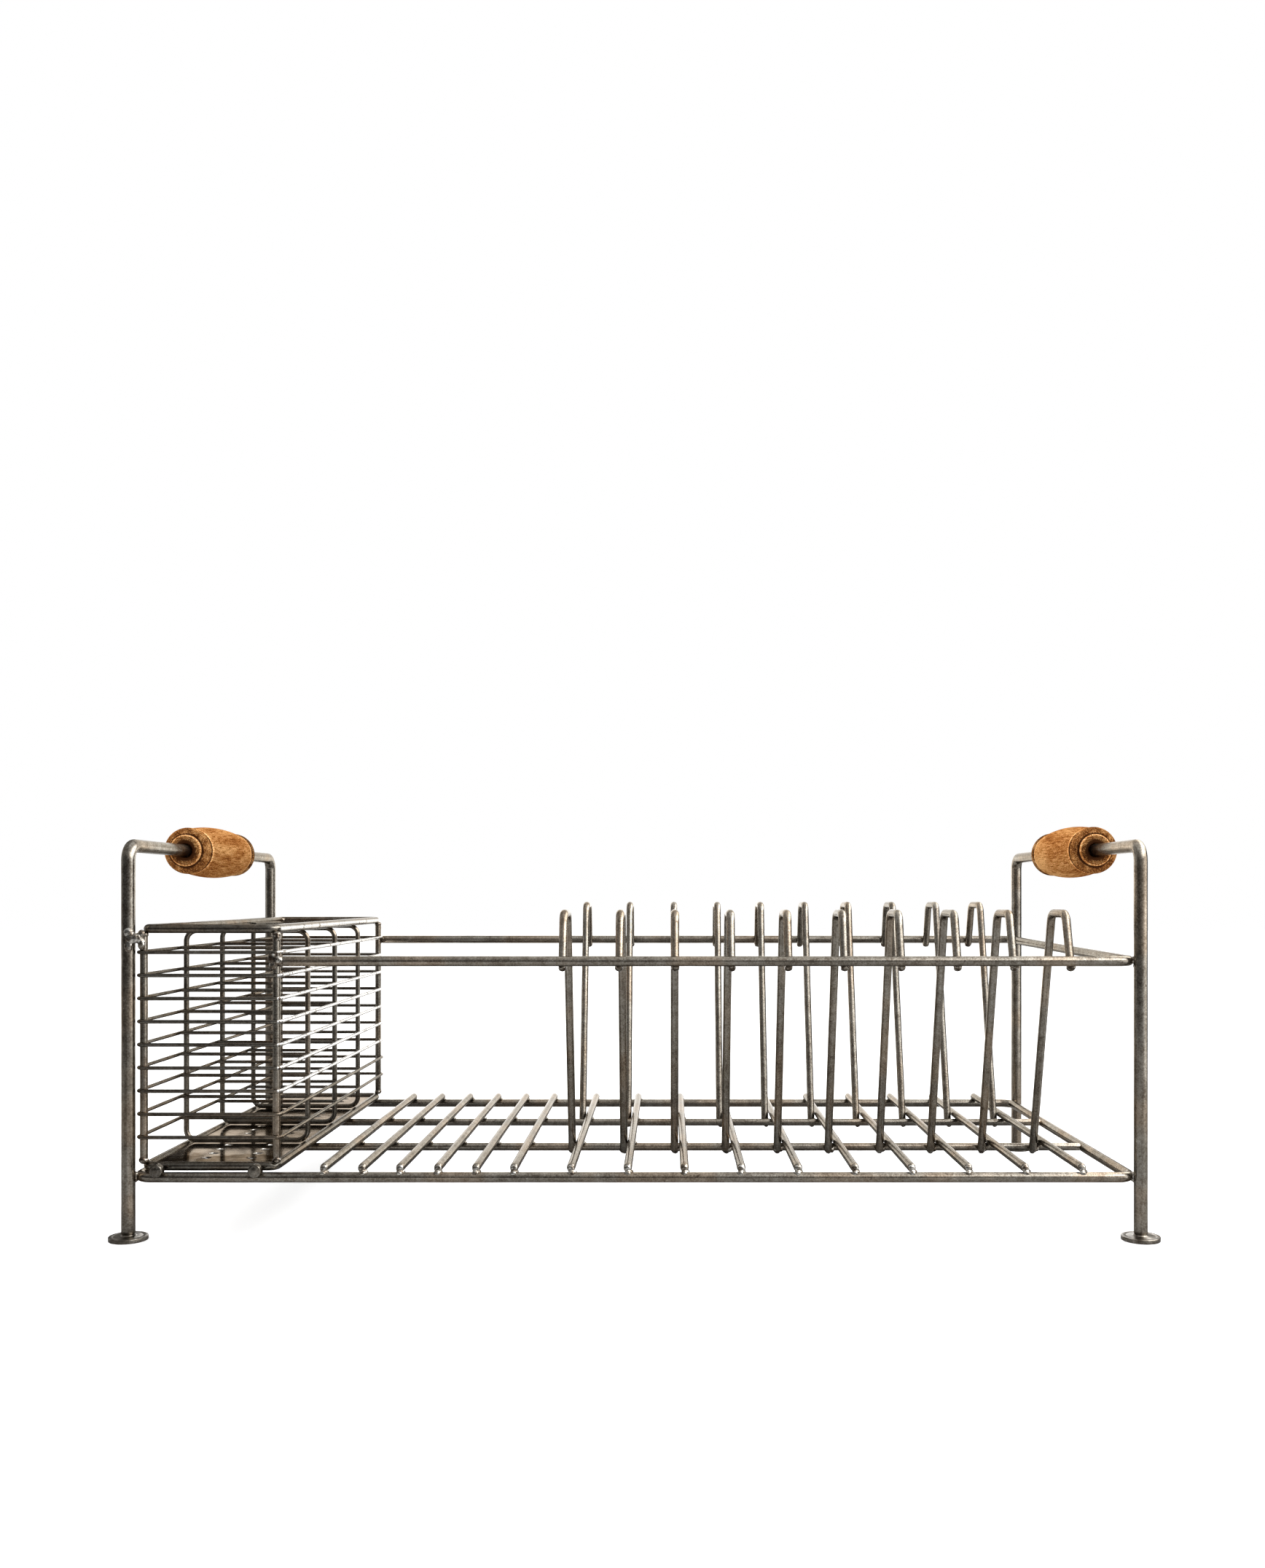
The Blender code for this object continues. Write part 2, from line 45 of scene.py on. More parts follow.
bpy.ops.object.select_all(action="DESELECT")

# End hoops. Each is one 7 mm rod of bare drawn steel, bent cold into two legs with the handle rod between
# them. The mill scale and the marks of the drawing die still show: nothing is ground, painted or plated.
MM = 0.001
SEED = 7
HOOP_ROD = 7 * MM
HOOP_BEND = 8 * MM
LEG_SINKS = 0.6 * MM
HOOP_SIDES = 28
RING_STEP = 5 * MM
BEND_STEP = math.radians(8)
MERGE_DISTANCE = 0.01 * MM
END_EASE_SHARE = 0.3
END_FLAT_SHARE = 0.55
END_STEPS = 4
WOBBLE = 0.12 * MM
WOBBLE_LENGTH = 17 * MM
SMOOTH_ANGLE = math.radians(50)

MIX_FACTOR, MIX_FIRST, MIX_SECOND, MIX_RESULT = 0, 6, 7, 2


class Value:
    """A node's output. Arithmetic on it adds Math nodes."""

    def __init__(self, finish, socket):
        self.finish = finish
        self.socket = socket

    def math(self, operation, first, second):
        return self.finish.math_node(operation, first, second)

    def __add__(self, other):
        return self.math("ADD", self, other)

    def __sub__(self, other):
        return self.math("SUBTRACT", self, other)

    def __rsub__(self, other):
        return self.math("SUBTRACT", other, self)

    def __truediv__(self, other):
        return self.math("DIVIDE", self, other)

    def __mul__(self, other):
        return self.math("MULTIPLY", self, other)

    __radd__ = __add__
    __rmul__ = __mul__


class Finish:
    """The nodes of a material or of the world, built up on its shader."""

    def __init__(self, owner, shader="Principled BSDF"):
        owner.use_nodes = True
        self.nodes = owner.node_tree.nodes
        self.links = owner.node_tree.links
        self.shader = self.nodes[shader]

    def feed(self, socket, given):
        if isinstance(given, Value):
            self.links.new(given.socket, socket)
        else:
            socket.default_value = given

    def node(self, kind, settings, sockets, output=0):
        """Adds a node, with its settings first and the values or links of its sockets after them."""
        made = self.nodes.new(kind)
        for setting, wanted in settings.items():
            if setting != "stops":
                setattr(made, setting, wanted)
                continue
            stops = made.color_ramp.elements
            stops[0].position, stops[1].position = wanted[0][0], wanted[-1][0]
            for place, _ in wanted[1:-1]:
                stops.new(place)
            for stop, (_, colour) in zip(stops, wanted):
                stop.color = (*colour, 1)
        for socket, given in sockets.items():
            self.feed(made.inputs[socket], given)
        return Value(self, made.outputs[output])

    def place(self):
        """Where a point lies, in metres."""
        return self.node("ShaderNodeTexCoord", {}, {}, "Object")

    def part(self, vector, letter):
        """A vector's part along X, Y or Z."""
        return self.node("ShaderNodeSeparateXYZ", {}, {0: vector}, letter)

    def attribute(self, name, output):
        return self.node("ShaderNodeAttribute", {"attribute_name": name}, {}, output)

    def noise(self, vector, size, detail=2):
        """Clouds whose lumps are about this size across, spread over 0 to 1 with 0.5 in the middle."""
        sockets = {"Vector": vector, "Scale": 1 / size, "Detail": detail}
        return self.node("ShaderNodeTexNoise", {}, sockets)

    def stretched(self, vector, shares):
        return self.node("ShaderNodeVectorMath", {"operation": "MULTIPLY"}, {0: vector, 1: shares})

    def rising(self, value, low, high):
        """0 below low, 1 above high, and smooth between them."""
        settings = {"interpolation_type": "SMOOTHSTEP"}
        sockets = {"Value": value, "From Min": low, "From Max": high}
        return self.node("ShaderNodeMapRange", settings, sockets)

    def math_node(self, operation, *values):
        return self.node("ShaderNodeMath", {"operation": operation}, dict(enumerate(values)))

    def ramp(self, value, stops):
        return self.node("ShaderNodeValToRGB", {"stops": stops}, {"Fac": value})

    def bump(self, height, depth, strength):
        """The normals of a relief of this depth."""
        sockets = {"Strength": strength, "Distance": depth, "Height": height}
        return self.node("ShaderNodeBump", {}, sockets, "Normal")

    def blend(self, factor, first, second, kind="MIX"):
        """Mixes two colours, or multiplies them, by a factor."""
        colours = [c if isinstance(c, Value) else (*c, 1) for c in (first, second)]
        sockets = {MIX_FACTOR: factor, MIX_FIRST: colours[0], MIX_SECOND: colours[1]}
        settings = {"data_type": "RGBA", "blend_type": kind}
        return self.node("ShaderNodeMix", settings, sockets, MIX_RESULT)

    def set(self, **sockets):
        for socket, given in sockets.items():
            self.feed(self.shader.inputs[socket.replace("_", " ")], given)


STEEL_SCALE = (
    (0.0, (0.070, 0.054, 0.040)),
    (0.3, (0.158, 0.132, 0.104)),
    (0.5, (0.258, 0.229, 0.190)),
    (0.7, (0.350, 0.320, 0.275)),
    (1.0, (0.500, 0.474, 0.422)),
)
BROWN_CAST = (1.06, 0.975, 0.90)
BLUE_CAST = (0.975, 0.997, 1.015)
SCORCHED_CAST = (0.55, 0.42, 0.34)
PIT_COLOUR = (0.045, 0.028, 0.018)
EDGE_TINT = (0.52, 0.50, 0.47, 1)
PATCH_SIZE = 42 * MM
BLOTCH_SIZE = 5.5 * MM
PIT_SIZE = 3 * MM
GRAIN_SIZE = 0.9 * MM
STREAK_SIZE = 1.8 * MM
STREAK_SHARE = 0.04
WARM, COOL = (0.5, 0.6), (0.5, 0.4)
SCORCHED = 0.75, 1.45
PITTED, PIT_STRENGTH = (0.66, 0.74), 0.6
REFLECTION_BREAKUP = 0.36, 0.46
SCALE_DEPTH, SCALE_BUMP = 0.1 * MM, 0.4


def drawn_steel(name, share=1.0, painted_reflection_side=None, painted_reflection_above=None):
    """Drawn rod as it leaves the mill. The attribute drawn runs along each rod, and heat is high at welds. A
    given side and height get a patchy painted reflection.
    """
    material = bpy.data.materials.new(name)
    steel = Finish(material)
    place = steel.place()
    drawn = steel.attribute("drawn", "Vector")
    heat = steel.attribute("heat", "Fac")
    patches = steel.noise(place, PATCH_SIZE)
    blotches = steel.noise(place, BLOTCH_SIZE, 3)
    grain = steel.noise(place, GRAIN_SIZE, 3)
    streaks = steel.noise(steel.stretched(drawn, (1, 1, STREAK_SHARE)), STREAK_SIZE, 3)
    # As every noise has 0.5 in its middle, the last number sets which part of the scale is most common.
    tone = streaks * 0.6 + blotches * 0.6 + grain * 0.9 + patches * 0.25 - 0.675
    stops = [(spot, tuple(level * share for level in shade)) for spot, shade in STEEL_SCALE]
    colour = steel.ramp(tone, stops)
    colour = steel.blend(steel.rising(patches, *WARM), colour, BROWN_CAST, "MULTIPLY")
    colour = steel.blend(steel.rising(patches, *COOL), colour, BLUE_CAST, "MULTIPLY")
    scorched = steel.rising(heat + blotches, *SCORCHED)
    colour = steel.blend(scorched, colour, SCORCHED_CAST, "MULTIPLY")
    pits = steel.rising(steel.noise(place, PIT_SIZE, 4), *PITTED)
    colour = steel.blend(pits * PIT_STRENGTH, colour, PIT_COLOUR)
    # Painted reflection: near-white patches on the rods past the given side and above the given height.
    if painted_reflection_side:
        painted_reflection = steel.rising(steel.part(place, "X"), *painted_reflection_side)
        painted_reflection = painted_reflection * steel.rising(steel.part(place, "Z"), *painted_reflection_above)
        painted_reflection = painted_reflection * steel.rising(blotches * 0.6 + grain * 0.4, *REFLECTION_BREAKUP)
        colour = steel.blend(painted_reflection, colour, PAINTED_REFLECTION_COLOUR)
    bump = steel.bump(streaks * 0.4 + grain * 0.5 + blotches * 0.8, SCALE_DEPTH, SCALE_BUMP)
    roughness = blotches * 0.12 + grain * 0.12 + scorched * 0.1 + 0.11
    steel.set(Base_Color=colour, Roughness=roughness, Metallic=1.0, Normal=bump)
    steel.set(Specular_Tint=EDGE_TINT)
    return material


rod_steel = drawn_steel("drawn_steel")
rods = []


def middle(node):
    """The middle of a CAD node's box."""
    low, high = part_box(node)
    return (low + high) / 2


def choose(*objects):
    """Selects just these objects, and makes the last one active."""
    bpy.ops.object.select_all(action="DESELECT")
    for thing in objects:
        thing.select_set(True)
    bpy.context.view_layer.objects.active = objects[-1]


def draw_out(way):
    """Extrudes what is selected, straight along."""
    bpy.ops.mesh.extrude_region_move(TRANSFORM_OT_translate={"value": way})


def select_first(piece, count):
    """Selects a mesh's first vertices, in edit mode."""
    bpy.ops.mesh.select_all(action="DESELECT")
    shape = bmesh.from_edit_mesh(piece.data)
    shape.verts.ensure_lookup_table()
    for vertex in shape.verts[:count]:
        vertex.select = True
    shape.select_flush(True)
    bmesh.update_edit_mesh(piece.data)


def edit_all():
    """Enters edit mode with everything selected."""
    bpy.ops.object.mode_set(mode="EDIT")
    bpy.ops.mesh.select_all(action="SELECT")


def circle(name, sides, radius, place, turned=(0, 0, 0), fill="NOTHING"):
    """A circle of vertices as a new mesh, open or filled, selected and ready to be drawn out."""
    bpy.ops.mesh.primitive_circle_add(
        vertices=sides, radius=radius, fill_type=fill, location=place, rotation=turned
    )
    piece = bpy.context.object
    piece.name = name
    bpy.ops.object.transform_apply()
    edit_all()
    return piece


def face_outwards():
    """Turns every face outwards and leaves edit mode."""
    bpy.ops.mesh.select_all(action="SELECT")
    bpy.ops.mesh.normals_make_consistent(inside=False)
    bpy.ops.object.mode_set(mode="OBJECT")


def round_off(centre, outward, rod):
    """Closes the selected open end of a rod with an eased edge and a small flat."""
    reach = rod * END_EASE_SHARE
    thickness = 1
    lengths = []
    for step in range(1, END_STEPS + 1):
        swing = math.pi / 2 * step / END_STEPS
        wanted = END_FLAT_SHARE + (1 - END_FLAT_SHARE) * math.cos(swing)
        lengths.append(reach * math.sin(swing))
        before = lengths[-2] if step > 1 else 0
        draw_out(outward * (lengths[-1] - before))
        share = wanted / thickness
        ring = centre + outward * lengths[-1]
        bpy.ops.transform.resize(value=(share, share, share), center_override=ring)
        thickness = wanted
    bpy.ops.mesh.edge_face_add()
    return lengths


def smooth(piece):
    choose(piece)
    bpy.ops.object.shade_smooth_by_angle(angle=SMOOTH_ANGLE)


def modify(piece, kind, **settings):
    """Adds a modifier with these settings, and applies it."""
    modifier = piece.modifiers.new(kind, kind)
    for setting, wanted in settings.items():
        setattr(modifier, setting, wanted)
    choose(piece)
    bpy.ops.object.modifier_apply(modifier=kind)


def displace(piece, strength, length):
    """Gives a surface slow unevenness, as handling and bending leave on it."""
    clouds = bpy.data.textures.new("unevenness", "CLOUDS")
    clouds.noise_scale = length
    modify(piece, "DISPLACE", texture=clouds, strength=strength)


def bent_rod(name, corners, rod, bend=0, closed=False, sides=HOOP_SIDES):
    """A rod drawn out ring by ring on its straight runs and spun round the centre of each bend."""
    corners = [Vector(corner) for corner in corners]
    if closed:
        half_way = (corners[0] + corners[-1]) / 2
        corners = [half_way, *corners, half_way]
    ways = [(after - before).normalized() for before, after in zip(corners, corners[1:])]
    ease = 0 if closed else rod * END_EASE_SHARE
    first, last = corners[0] + ways[0] * ease, corners[-1] - ways[-1] * ease
    piece = circle(name, sides, rod / 2, first, ways[0].to_track_quat("Z", "Y").to_euler())
    start = first
    lengths = [0]
    for corner, along, onward in zip(corners[1:], ways, [*ways[1:], None]):
        turn = along.angle(onward) if onward else 0
        setback = bend * math.tan(turn / 2)
        goal = corner - along * setback if onward else last
        run = (goal - start).length
        steps = max(1, round(run / RING_STEP))
        for _ in range(steps):
            draw_out(along * run / steps)
            lengths.append(lengths[-1] + run / steps)
        if onward:
            axis = along.cross(onward).normalized()
            centre = goal + axis.cross(along) * bend
            steps = math.ceil(turn / BEND_STEP)
            bpy.ops.mesh.spin(steps=steps, angle=-turn, center=centre, axis=axis)
            lengths.extend(lengths[-1] + bend * turn * (n + 1) / steps for n in range(steps))
            start = corner + onward * setback
    if not closed:
        whole = lengths[-1]
        lengths.extend(whole + length for length in round_off(last, ways[-1], rod))
        select_first(piece, sides)
        lengths.extend(-length for length in round_off(first, -ways[0], rod))
    bpy.ops.object.mode_set(mode="OBJECT")
    drawn = piece.data.attributes.new("drawn", "FLOAT_VECTOR", "POINT")
    for number, entry in enumerate(drawn.data):
        around = math.tau * (number % sides) / sides
        across = rod / 2 * math.cos(around), rod / 2 * math.sin(around)
        entry.vector = (*across, lengths[number // sides])
    edit_all()
    bpy.ops.mesh.remove_doubles(threshold=MERGE_DISTANCE)
    face_outwards()
    displace(piece, WOBBLE, WOBBLE_LENGTH)
    smooth(piece)
    return piece


def dress(piece, material):
    piece.data.materials.clear()
    piece.data.materials.append(material)


def settle(piece, material, slot, body, *nodes):
    """Gives a piece its finish, ties it to its body and hides the CAD nodes that it stands for."""
    if material:
        dress(piece, material)
    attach(piece, body)
    if nodes:
        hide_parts(*nodes)


def settle_rod(piece, node, steel=rod_steel):
    settle(piece, steel, "steel_rod", "frame", node)
    rods.append(piece)


random.seed(SEED)
hoop_low, hoop_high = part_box("end_hoop_left")
leg_x = -middle("end_hoop_left").x
leg_y = hoop_high.y - HOOP_ROD / 2
handle_height = middle("grip_left").z
leg_bottom = hoop_low.z - LEG_SINKS
for side, sign in (("left", -1), ("right", 1)):
    corners = (
        (sign * leg_x, -leg_y, leg_bottom),
        (sign * leg_x, -leg_y, handle_height),
        (sign * leg_x, leg_y, handle_height),
        (sign * leg_x, leg_y, leg_bottom),
    )
    settle_rod(bent_rod(f"bent_hoop_{side}", corners, HOOP_ROD, HOOP_BEND), f"end_hoop_{side}")

# Feet. Flat round discs turned from bar, 20 mm across, welded under the legs. The upper edge is eased, the
# face keeps its turning marks, and the weld leaves a dark fillet round the leg.
FOOT_DIAMETER = 20 * MM
FOOT_EDGE = 0.4 * MM
FOOT_SIDES = 56
FOOT_MARK_INSET = 1.7 * MM
FOOT_MARK_WIDTH = 0.35 * MM
FOOT_MARK_DEPTH = 0.12 * MM
FILLET_DIAMETER = 9 * MM
FILLET_HEIGHT = 0.9 * MM
FILLET_STEPS = 4
FOOT_WOBBLE = 0.02 * MM
FOOT_HEAT = 9 * MM
EDGE_SEGMENTS = 3
SHARP_ANGLE = math.radians(70)


def ease_edges(piece, width, segments=EDGE_SEGMENTS, sharp=SHARP_ANGLE):
    """Rounds the sharp edges of a turned or cut piece."""
    modify(piece, "BEVEL", width=width, segments=segments, limit_method="ANGLE", angle_limit=sharp)


foot_low, foot_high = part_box("foot_front_left")
foot_thickness = foot_high.z - foot_low.z
place = (-leg_x, -leg_y, FOOT_WOBBLE / 2)
radius = (FOOT_DIAMETER - FOOT_WOBBLE) / 2
foot = circle("foot_disc_front_left", FOOT_SIDES, radius, place, fill="NGON")
draw_out((0, 0, foot_thickness - FOOT_WOBBLE / 2))
bpy.ops.mesh.inset(thickness=FOOT_EDGE + FOOT_MARK_INSET)
bpy.ops.mesh.inset(thickness=FOOT_MARK_WIDTH, depth=-FOOT_MARK_DEPTH)
bpy.ops.mesh.inset(thickness=FOOT_MARK_WIDTH, depth=FOOT_MARK_DEPTH)
inner = FOOT_DIAMETER / 2 - FOOT_EDGE - FOOT_MARK_INSET - 2 * FOOT_MARK_WIDTH
bpy.ops.mesh.inset(thickness=inner - FILLET_DIAMETER / 2)
fillet_width = (FILLET_DIAMETER - HOOP_ROD) / 2
for step in range(FILLET_STEPS):
    swing = math.pi / 2 * step / FILLET_STEPS
    following = math.pi / 2 * (step + 1) / FILLET_STEPS
    inward = fillet_width * (math.sin(following) - math.sin(swing))
    upward = FILLET_HEIGHT * (math.cos(swing) - math.cos(following))
    bpy.ops.mesh.inset(thickness=inward, depth=upward)
face_outwards()
ease_edges(foot, FOOT_EDGE)
displace(foot, FOOT_WOBBLE, FOOT_DIAMETER / 4)
smooth(foot)

TURNED_SCALE = (
    (0.0, (0.050, 0.040, 0.030)),
    (0.5, (0.185, 0.163, 0.134)),
    (1.0, (0.420, 0.390, 0.340)),
)
RUST_COLOUR = (0.13, 0.085, 0.05)
FOOT_BURNT_CAST = (0.2, 0.15, 0.12)
RUST_SIZE = 9 * MM
RUSTED, RUST_STRENGTH = (0.55, 0.7), 0.5
FOOT_SCORCHED = 0.55, 1.0
TURNING_DEPTH, TURNING_BUMP = 0.12 * MM, 0.45


def turned_steel():
    """Steel with fine turning marks, lighter than the rods, and dark where the weld scorched it."""
    material = bpy.data.materials.new("turned_steel")
    steel = Finish(material)
    place = steel.place()
    heat = steel.attribute("heat", "Fac")
    blotches = steel.noise(place, BLOTCH_SIZE, 3)
    grain = steel.noise(place, GRAIN_SIZE, 3)
    rust = steel.rising(steel.noise(place, RUST_SIZE, 4), *RUSTED)
    tone = blotches * 1.6 + grain * 0.9 - 0.75
    colour = steel.blend(rust * RUST_STRENGTH, steel.ramp(tone, TURNED_SCALE), RUST_COLOUR)
    scorched = steel.rising(heat + blotches * 0.5, *FOOT_SCORCHED)
    colour = steel.blend(scorched, colour, FOOT_BURNT_CAST, "MULTIPLY")
    bump = steel.bump(grain + blotches, TURNING_DEPTH, TURNING_BUMP)
    steel.set(Base_Color=colour, Roughness=blotches * 0.2 + 0.22, Metallic=1.0, Normal=bump)
    return material


def copied(piece, name, move):
    """A copy with its own mesh, moved, and with its streaks shifted along the rod."""
    choose(piece)
    bpy.ops.object.duplicate()
    copy = bpy.context.object
    copy.name = name
    bpy.ops.transform.translate(value=move)
    bpy.ops.object.transform_apply()
    if "drawn" in copy.data.attributes:
        shift = random.uniform(1, 5)
        for entry in copy.data.attributes["drawn"].data:
            entry.vector = entry.vector + Vector((0, 0, shift))
    return copy


foot_steel = turned_steel()
welds = []
feet = [foot]
for end, side, move in (
    ("front", "right", (2 * leg_x, 0, 0)),
    ("back", "left", (0, 2 * leg_y, 0)),
    ("back", "right", (2 * leg_x, 2 * leg_y, 0)),
):
    feet.append(copied(foot, f"foot_disc_{end}_{side}", move))
for piece in feet:
    node = piece.name.replace("_disc", "")
    settle_rod(piece, node, foot_steel)
    welds.append((middle(node) + Vector((0, 0, foot_thickness)), FOOT_HEAT))

# Base. A 5.4 mm ring bent from one rod stands between the legs, welded to each at a bent corner, and two
# thinner bars lie along it inside. All are level on top, to carry the cross bars. The welds are left rough.
BASE_ROD = 5.4 * MM
BASE_BEND = 8 * MM
BASE_BAR_ROD = 4.5 * MM
BAR_SIDES = 20
BAR_BITE = 1.2 * MM
BAR_HEAT = 7 * MM

ring_low, ring_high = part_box("base_ring")
ring_x = ring_high.x - BASE_ROD / 2
ring_height = (ring_low.z + ring_high.z) / 2
corners = (
    (ring_x, leg_y, ring_height),
    (-ring_x, leg_y, ring_height),
    (-ring_x, -leg_y, ring_height),
    (ring_x, -leg_y, ring_height),
)
settle_rod(bent_rod("ring_of_base", corners, BASE_ROD, BASE_BEND, closed=True), "base_ring")
for end in ("front", "back"):
    bar = middle(f"base_bar_{end}")
    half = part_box(f"base_bar_{end}")[1].x + BAR_BITE
    corners = ((-half, bar.y, bar.z), (half, bar.y, bar.z))
    long_bar = bent_rod(f"long_bar_{end}", corners, BASE_BAR_ROD, sides=BAR_SIDES)
    settle_rod(long_bar, f"base_bar_{end}")
    for sign in (-1, 1):
        welds.append((Vector((sign * ring_x, bar.y, bar.z)), BAR_HEAT))

WELD_SCALE = (
    (0.0, (0.05, 0.036, 0.026)),
    (0.4, (0.15, 0.120, 0.092)),
    (0.6, (0.29, 0.258, 0.215)),
    (1.0, (0.62, 0.600, 0.560)),
)
WELD_LUMP = 2.4 * MM
BEAD_STEPS = 2
WELD_VOXEL = 0.32 * MM
WELD_EASE_STEPS = 5
WELD_RIPPLE = 0.4 * MM
RIPPLE_DEPTH, RIPPLE_BUMP = 0.2 * MM, 0.5
CLEANED = 0.25
CORNER_IN, CORNER_ALONG = 3 * MM, 2 * MM
CORNER_HEAT = 8 * MM


def melted_steel(name, cleaned=0.0):
    """Weld metal that ran and froze, brown with scale in its hollows and brighter where it was brushed."""
    material = bpy.data.materials.new(name)
    steel = Finish(material)
    place = steel.place()
    lumps = steel.noise(place, WELD_LUMP, 3)
    grain = steel.noise(place, GRAIN_SIZE, 3)
    tone = lumps * 2.3 + grain * 0.8 - 1.1 + cleaned
    colour = steel.ramp(tone, WELD_SCALE)
    bump = steel.bump(lumps + grain * 0.4, RIPPLE_DEPTH, RIPPLE_BUMP)
    steel.set(Base_Color=colour, Roughness=0.36 - lumps * 0.3, Metallic=1.0, Normal=bump)
    return material


brown_weld = melted_steel("brown_weld")
clean_weld = melted_steel("clean_weld", CLEANED)


def joined(pieces, name):
    choose(*pieces)
    bpy.ops.object.join()
    whole = bpy.context.object
    whole.name = name
    return whole


def weld_on(name, drops, finish=brown_weld):
    """Drops of weld metal, each with its place and half sizes, melted into one skin and rippled."""
    beads = []
    for place, size in drops:
        bpy.ops.mesh.primitive_ico_sphere_add(subdivisions=BEAD_STEPS, radius=1, location=place)
        bead = bpy.context.object
        bead.scale = [share * MM for share in size]
        beads.append(bead)
    choose(*beads)
    bpy.ops.object.transform_apply()
    weld = joined(beads, name)
    modify(weld, "REMESH", mode="VOXEL", voxel_size=WELD_VOXEL)
    modify(weld, "SMOOTH", iterations=WELD_EASE_STEPS)
    displace(weld, WELD_RIPPLE, WELD_LUMP)
    bpy.ops.object.shade_smooth()
    settle(weld, finish, "steel_rod", "frame")


def weld_at(place, heat, *drops):
    """Heats a place, and gives the drops of weld metal round it by their shifts and half sizes in mm."""
    welds.append((place, heat))
    return [(place + Vector(shift) * MM, size) for shift, size in drops]


drops = []
for side in (-1, 1):
    for sign in (-1, 1):
        corner = Vector((side * (leg_x - CORNER_IN), sign * (leg_y - CORNER_ALONG), ring_height))
        drops += weld_at(
            corner,
            CORNER_HEAT,
            ((0, 0, 1.2), (1.9, 1.9, 1.5)),
            ((0, 0, -1.4), (1.7, 1.7, 1.6)),
            ((side, sign, -3), (1.2, 1.2, 1.5)),
        )
weld_on("base_ring_welds", drops)

# Cross bars. Sixteen 4.5 mm rods from front to back on the base, six close together for cups and ten wider
# under the plates. Each end is melted down onto the ring, and each crossing is tacked.
CROSS_BAR_ROD = 4.5 * MM
CUP_BARS = 6
PLATE_BARS = 10
BAR_DROP = 0.3 * MM
BEAD_LEAN = 0.5
CROSS_HEAT = 4 * MM
TACK_SHIFT, TACK_SIZE = (2.0, -1.2, -1.7), (1.2, 1.5, 1.0)

nodes = [f"cup_bar_{n + 1}" for n in range(CUP_BARS)]
nodes += [f"plate_bar_{n + 1}" for n in range(PLATE_BARS)]
first = middle(nodes[0]) - Vector((0, 0, BAR_DROP))
bar_low, bar_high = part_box(nodes[0])
corners = ((first.x, bar_low.y, first.z), (first.x, bar_high.y, first.z))
master = bent_rod("cross_rod", corners, CROSS_BAR_ROD, sides=BAR_SIDES)
bars = [master]
for node in nodes[1:]:
    bars.append(copied(master, f"rod_{node}", (middle(node).x - first.x, 0, 0)))
master.name = f"rod_{nodes[0]}"
drops = []
for bar, node in zip(bars, nodes):
    settle_rod(bar, node)
    x = middle(node).x
    for sign in (-1, 1):
        end = Vector((x, sign * bar_high.y, first.z))
        lean = random.uniform(-BEAD_LEAN, BEAD_LEAN)
        drops += weld_at(
            end,
            CROSS_HEAT,
            ((0, sign * 0.2, -0.3), (2.15, 1.1, 2.1)),
            ((lean, sign * 1.1, -2.6), (1.9, 1.5, 1.5)),
            ((lean + 1.7, sign * -0.6, -2.0), (1.2, 1.6, 1.1)),
        )
        crossing = Vector((x, sign * middle("base_bar_back").y, first.z))
        drops.append((crossing + Vector(TACK_SHIFT) * MM, TACK_SIZE))
weld_on("cross_bar_welds", drops, clean_weld)

# Top rail. A 5.3 mm rod round the front, the right end and the back, open towards the basket. It rises a
# little to the back, and is welded to both right legs and to the basket at its two ends.
RAIL_ROD = 5.3 * MM
RAIL_BEND = 8 * MM
RAIL_BITE = 0.6 * MM
FRONT_JOINT, BACK_JOINT = 1.4 * MM, 0.6 * MM
FRONT_JOINT_HEAT, BACK_JOINT_HEAT = 9 * MM, 7 * MM

rail_low, rail_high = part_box("top_rail")
rail_x = rail_high.x - RAIL_ROD / 2
front_rail = rail_low.z + RAIL_ROD / 2
back_rail = rail_high.z - RAIL_ROD / 2
corners = (
    (rail_low.x - RAIL_BITE, -leg_y, front_rail),
    (rail_x, -leg_y, front_rail),
    (rail_x, leg_y, back_rail),
    (rail_low.x - RAIL_BITE, leg_y, back_rail),
)
settle_rod(bent_rod("bent_rail", corners, RAIL_ROD, RAIL_BEND), "top_rail")
front_end = Vector((rail_low.x - FRONT_JOINT, -leg_y, front_rail))
back_end = Vector((rail_low.x - BACK_JOINT, leg_y, back_rail))
drops = weld_at(
    front_end,
    FRONT_JOINT_HEAT,
    ((-2.0, -1.1, 2.0), (2.7, 1.8, 2.6)),
    ((0.6, -1.5, 0.6), (2.9, 1.9, 3.0)),
    ((-1.7, -1.3, -2.2), (2.5, 1.7, 2.5)),
    ((2.4, -0.8, -0.3), (2.3, 2.2, 2.9)),
)
drops += weld_at(
    back_end,
    BACK_JOINT_HEAT,
    ((0.2, 0.0, 0.4), (2.2, 2.4, 2.4)),
    ((-0.9, -0.8, -1.6), (1.8, 1.8, 1.7)),
)
for sign, height in ((-1, front_rail), (1, back_rail)):
    corner = Vector((leg_x - CORNER_IN, sign * (leg_y - CORNER_ALONG), height))
    drops += weld_at(
        corner,
        CORNER_HEAT,
        ((0, 0, 0.6), (1.8, 1.8, 2.0)),
        ((0.6, 0.9 * sign, -2.6), (1.3, 1.3, 1.7)),
        ((0.9, 1.2 * sign, -4.6), (0.9, 0.9, 1.3)),
    )
weld_on("rail_welds", drops)

# Plate dividers. Ten 4.5 mm rods in front and ten behind, each with a short tail beside the rail, a flat
# top and a long leg that leans inwards to a base bar. Their feet are melted round and brown.
DIVIDER_ROD = 4.5 * MM
DIVIDER_BEND = 6 * MM
DIVIDER_TOP_WIDTH = 26 * MM
DIVIDER_TAIL = 2.3 * MM
DIVIDER_LEAN = math.radians(18)
DIVIDER_SWAY = 0.35 * MM
DIVIDERS = 10
WELD_GAP = 0.3 * MM
TAIL_HEAT, LEG_END_HEAT = 5 * MM, 9 * MM


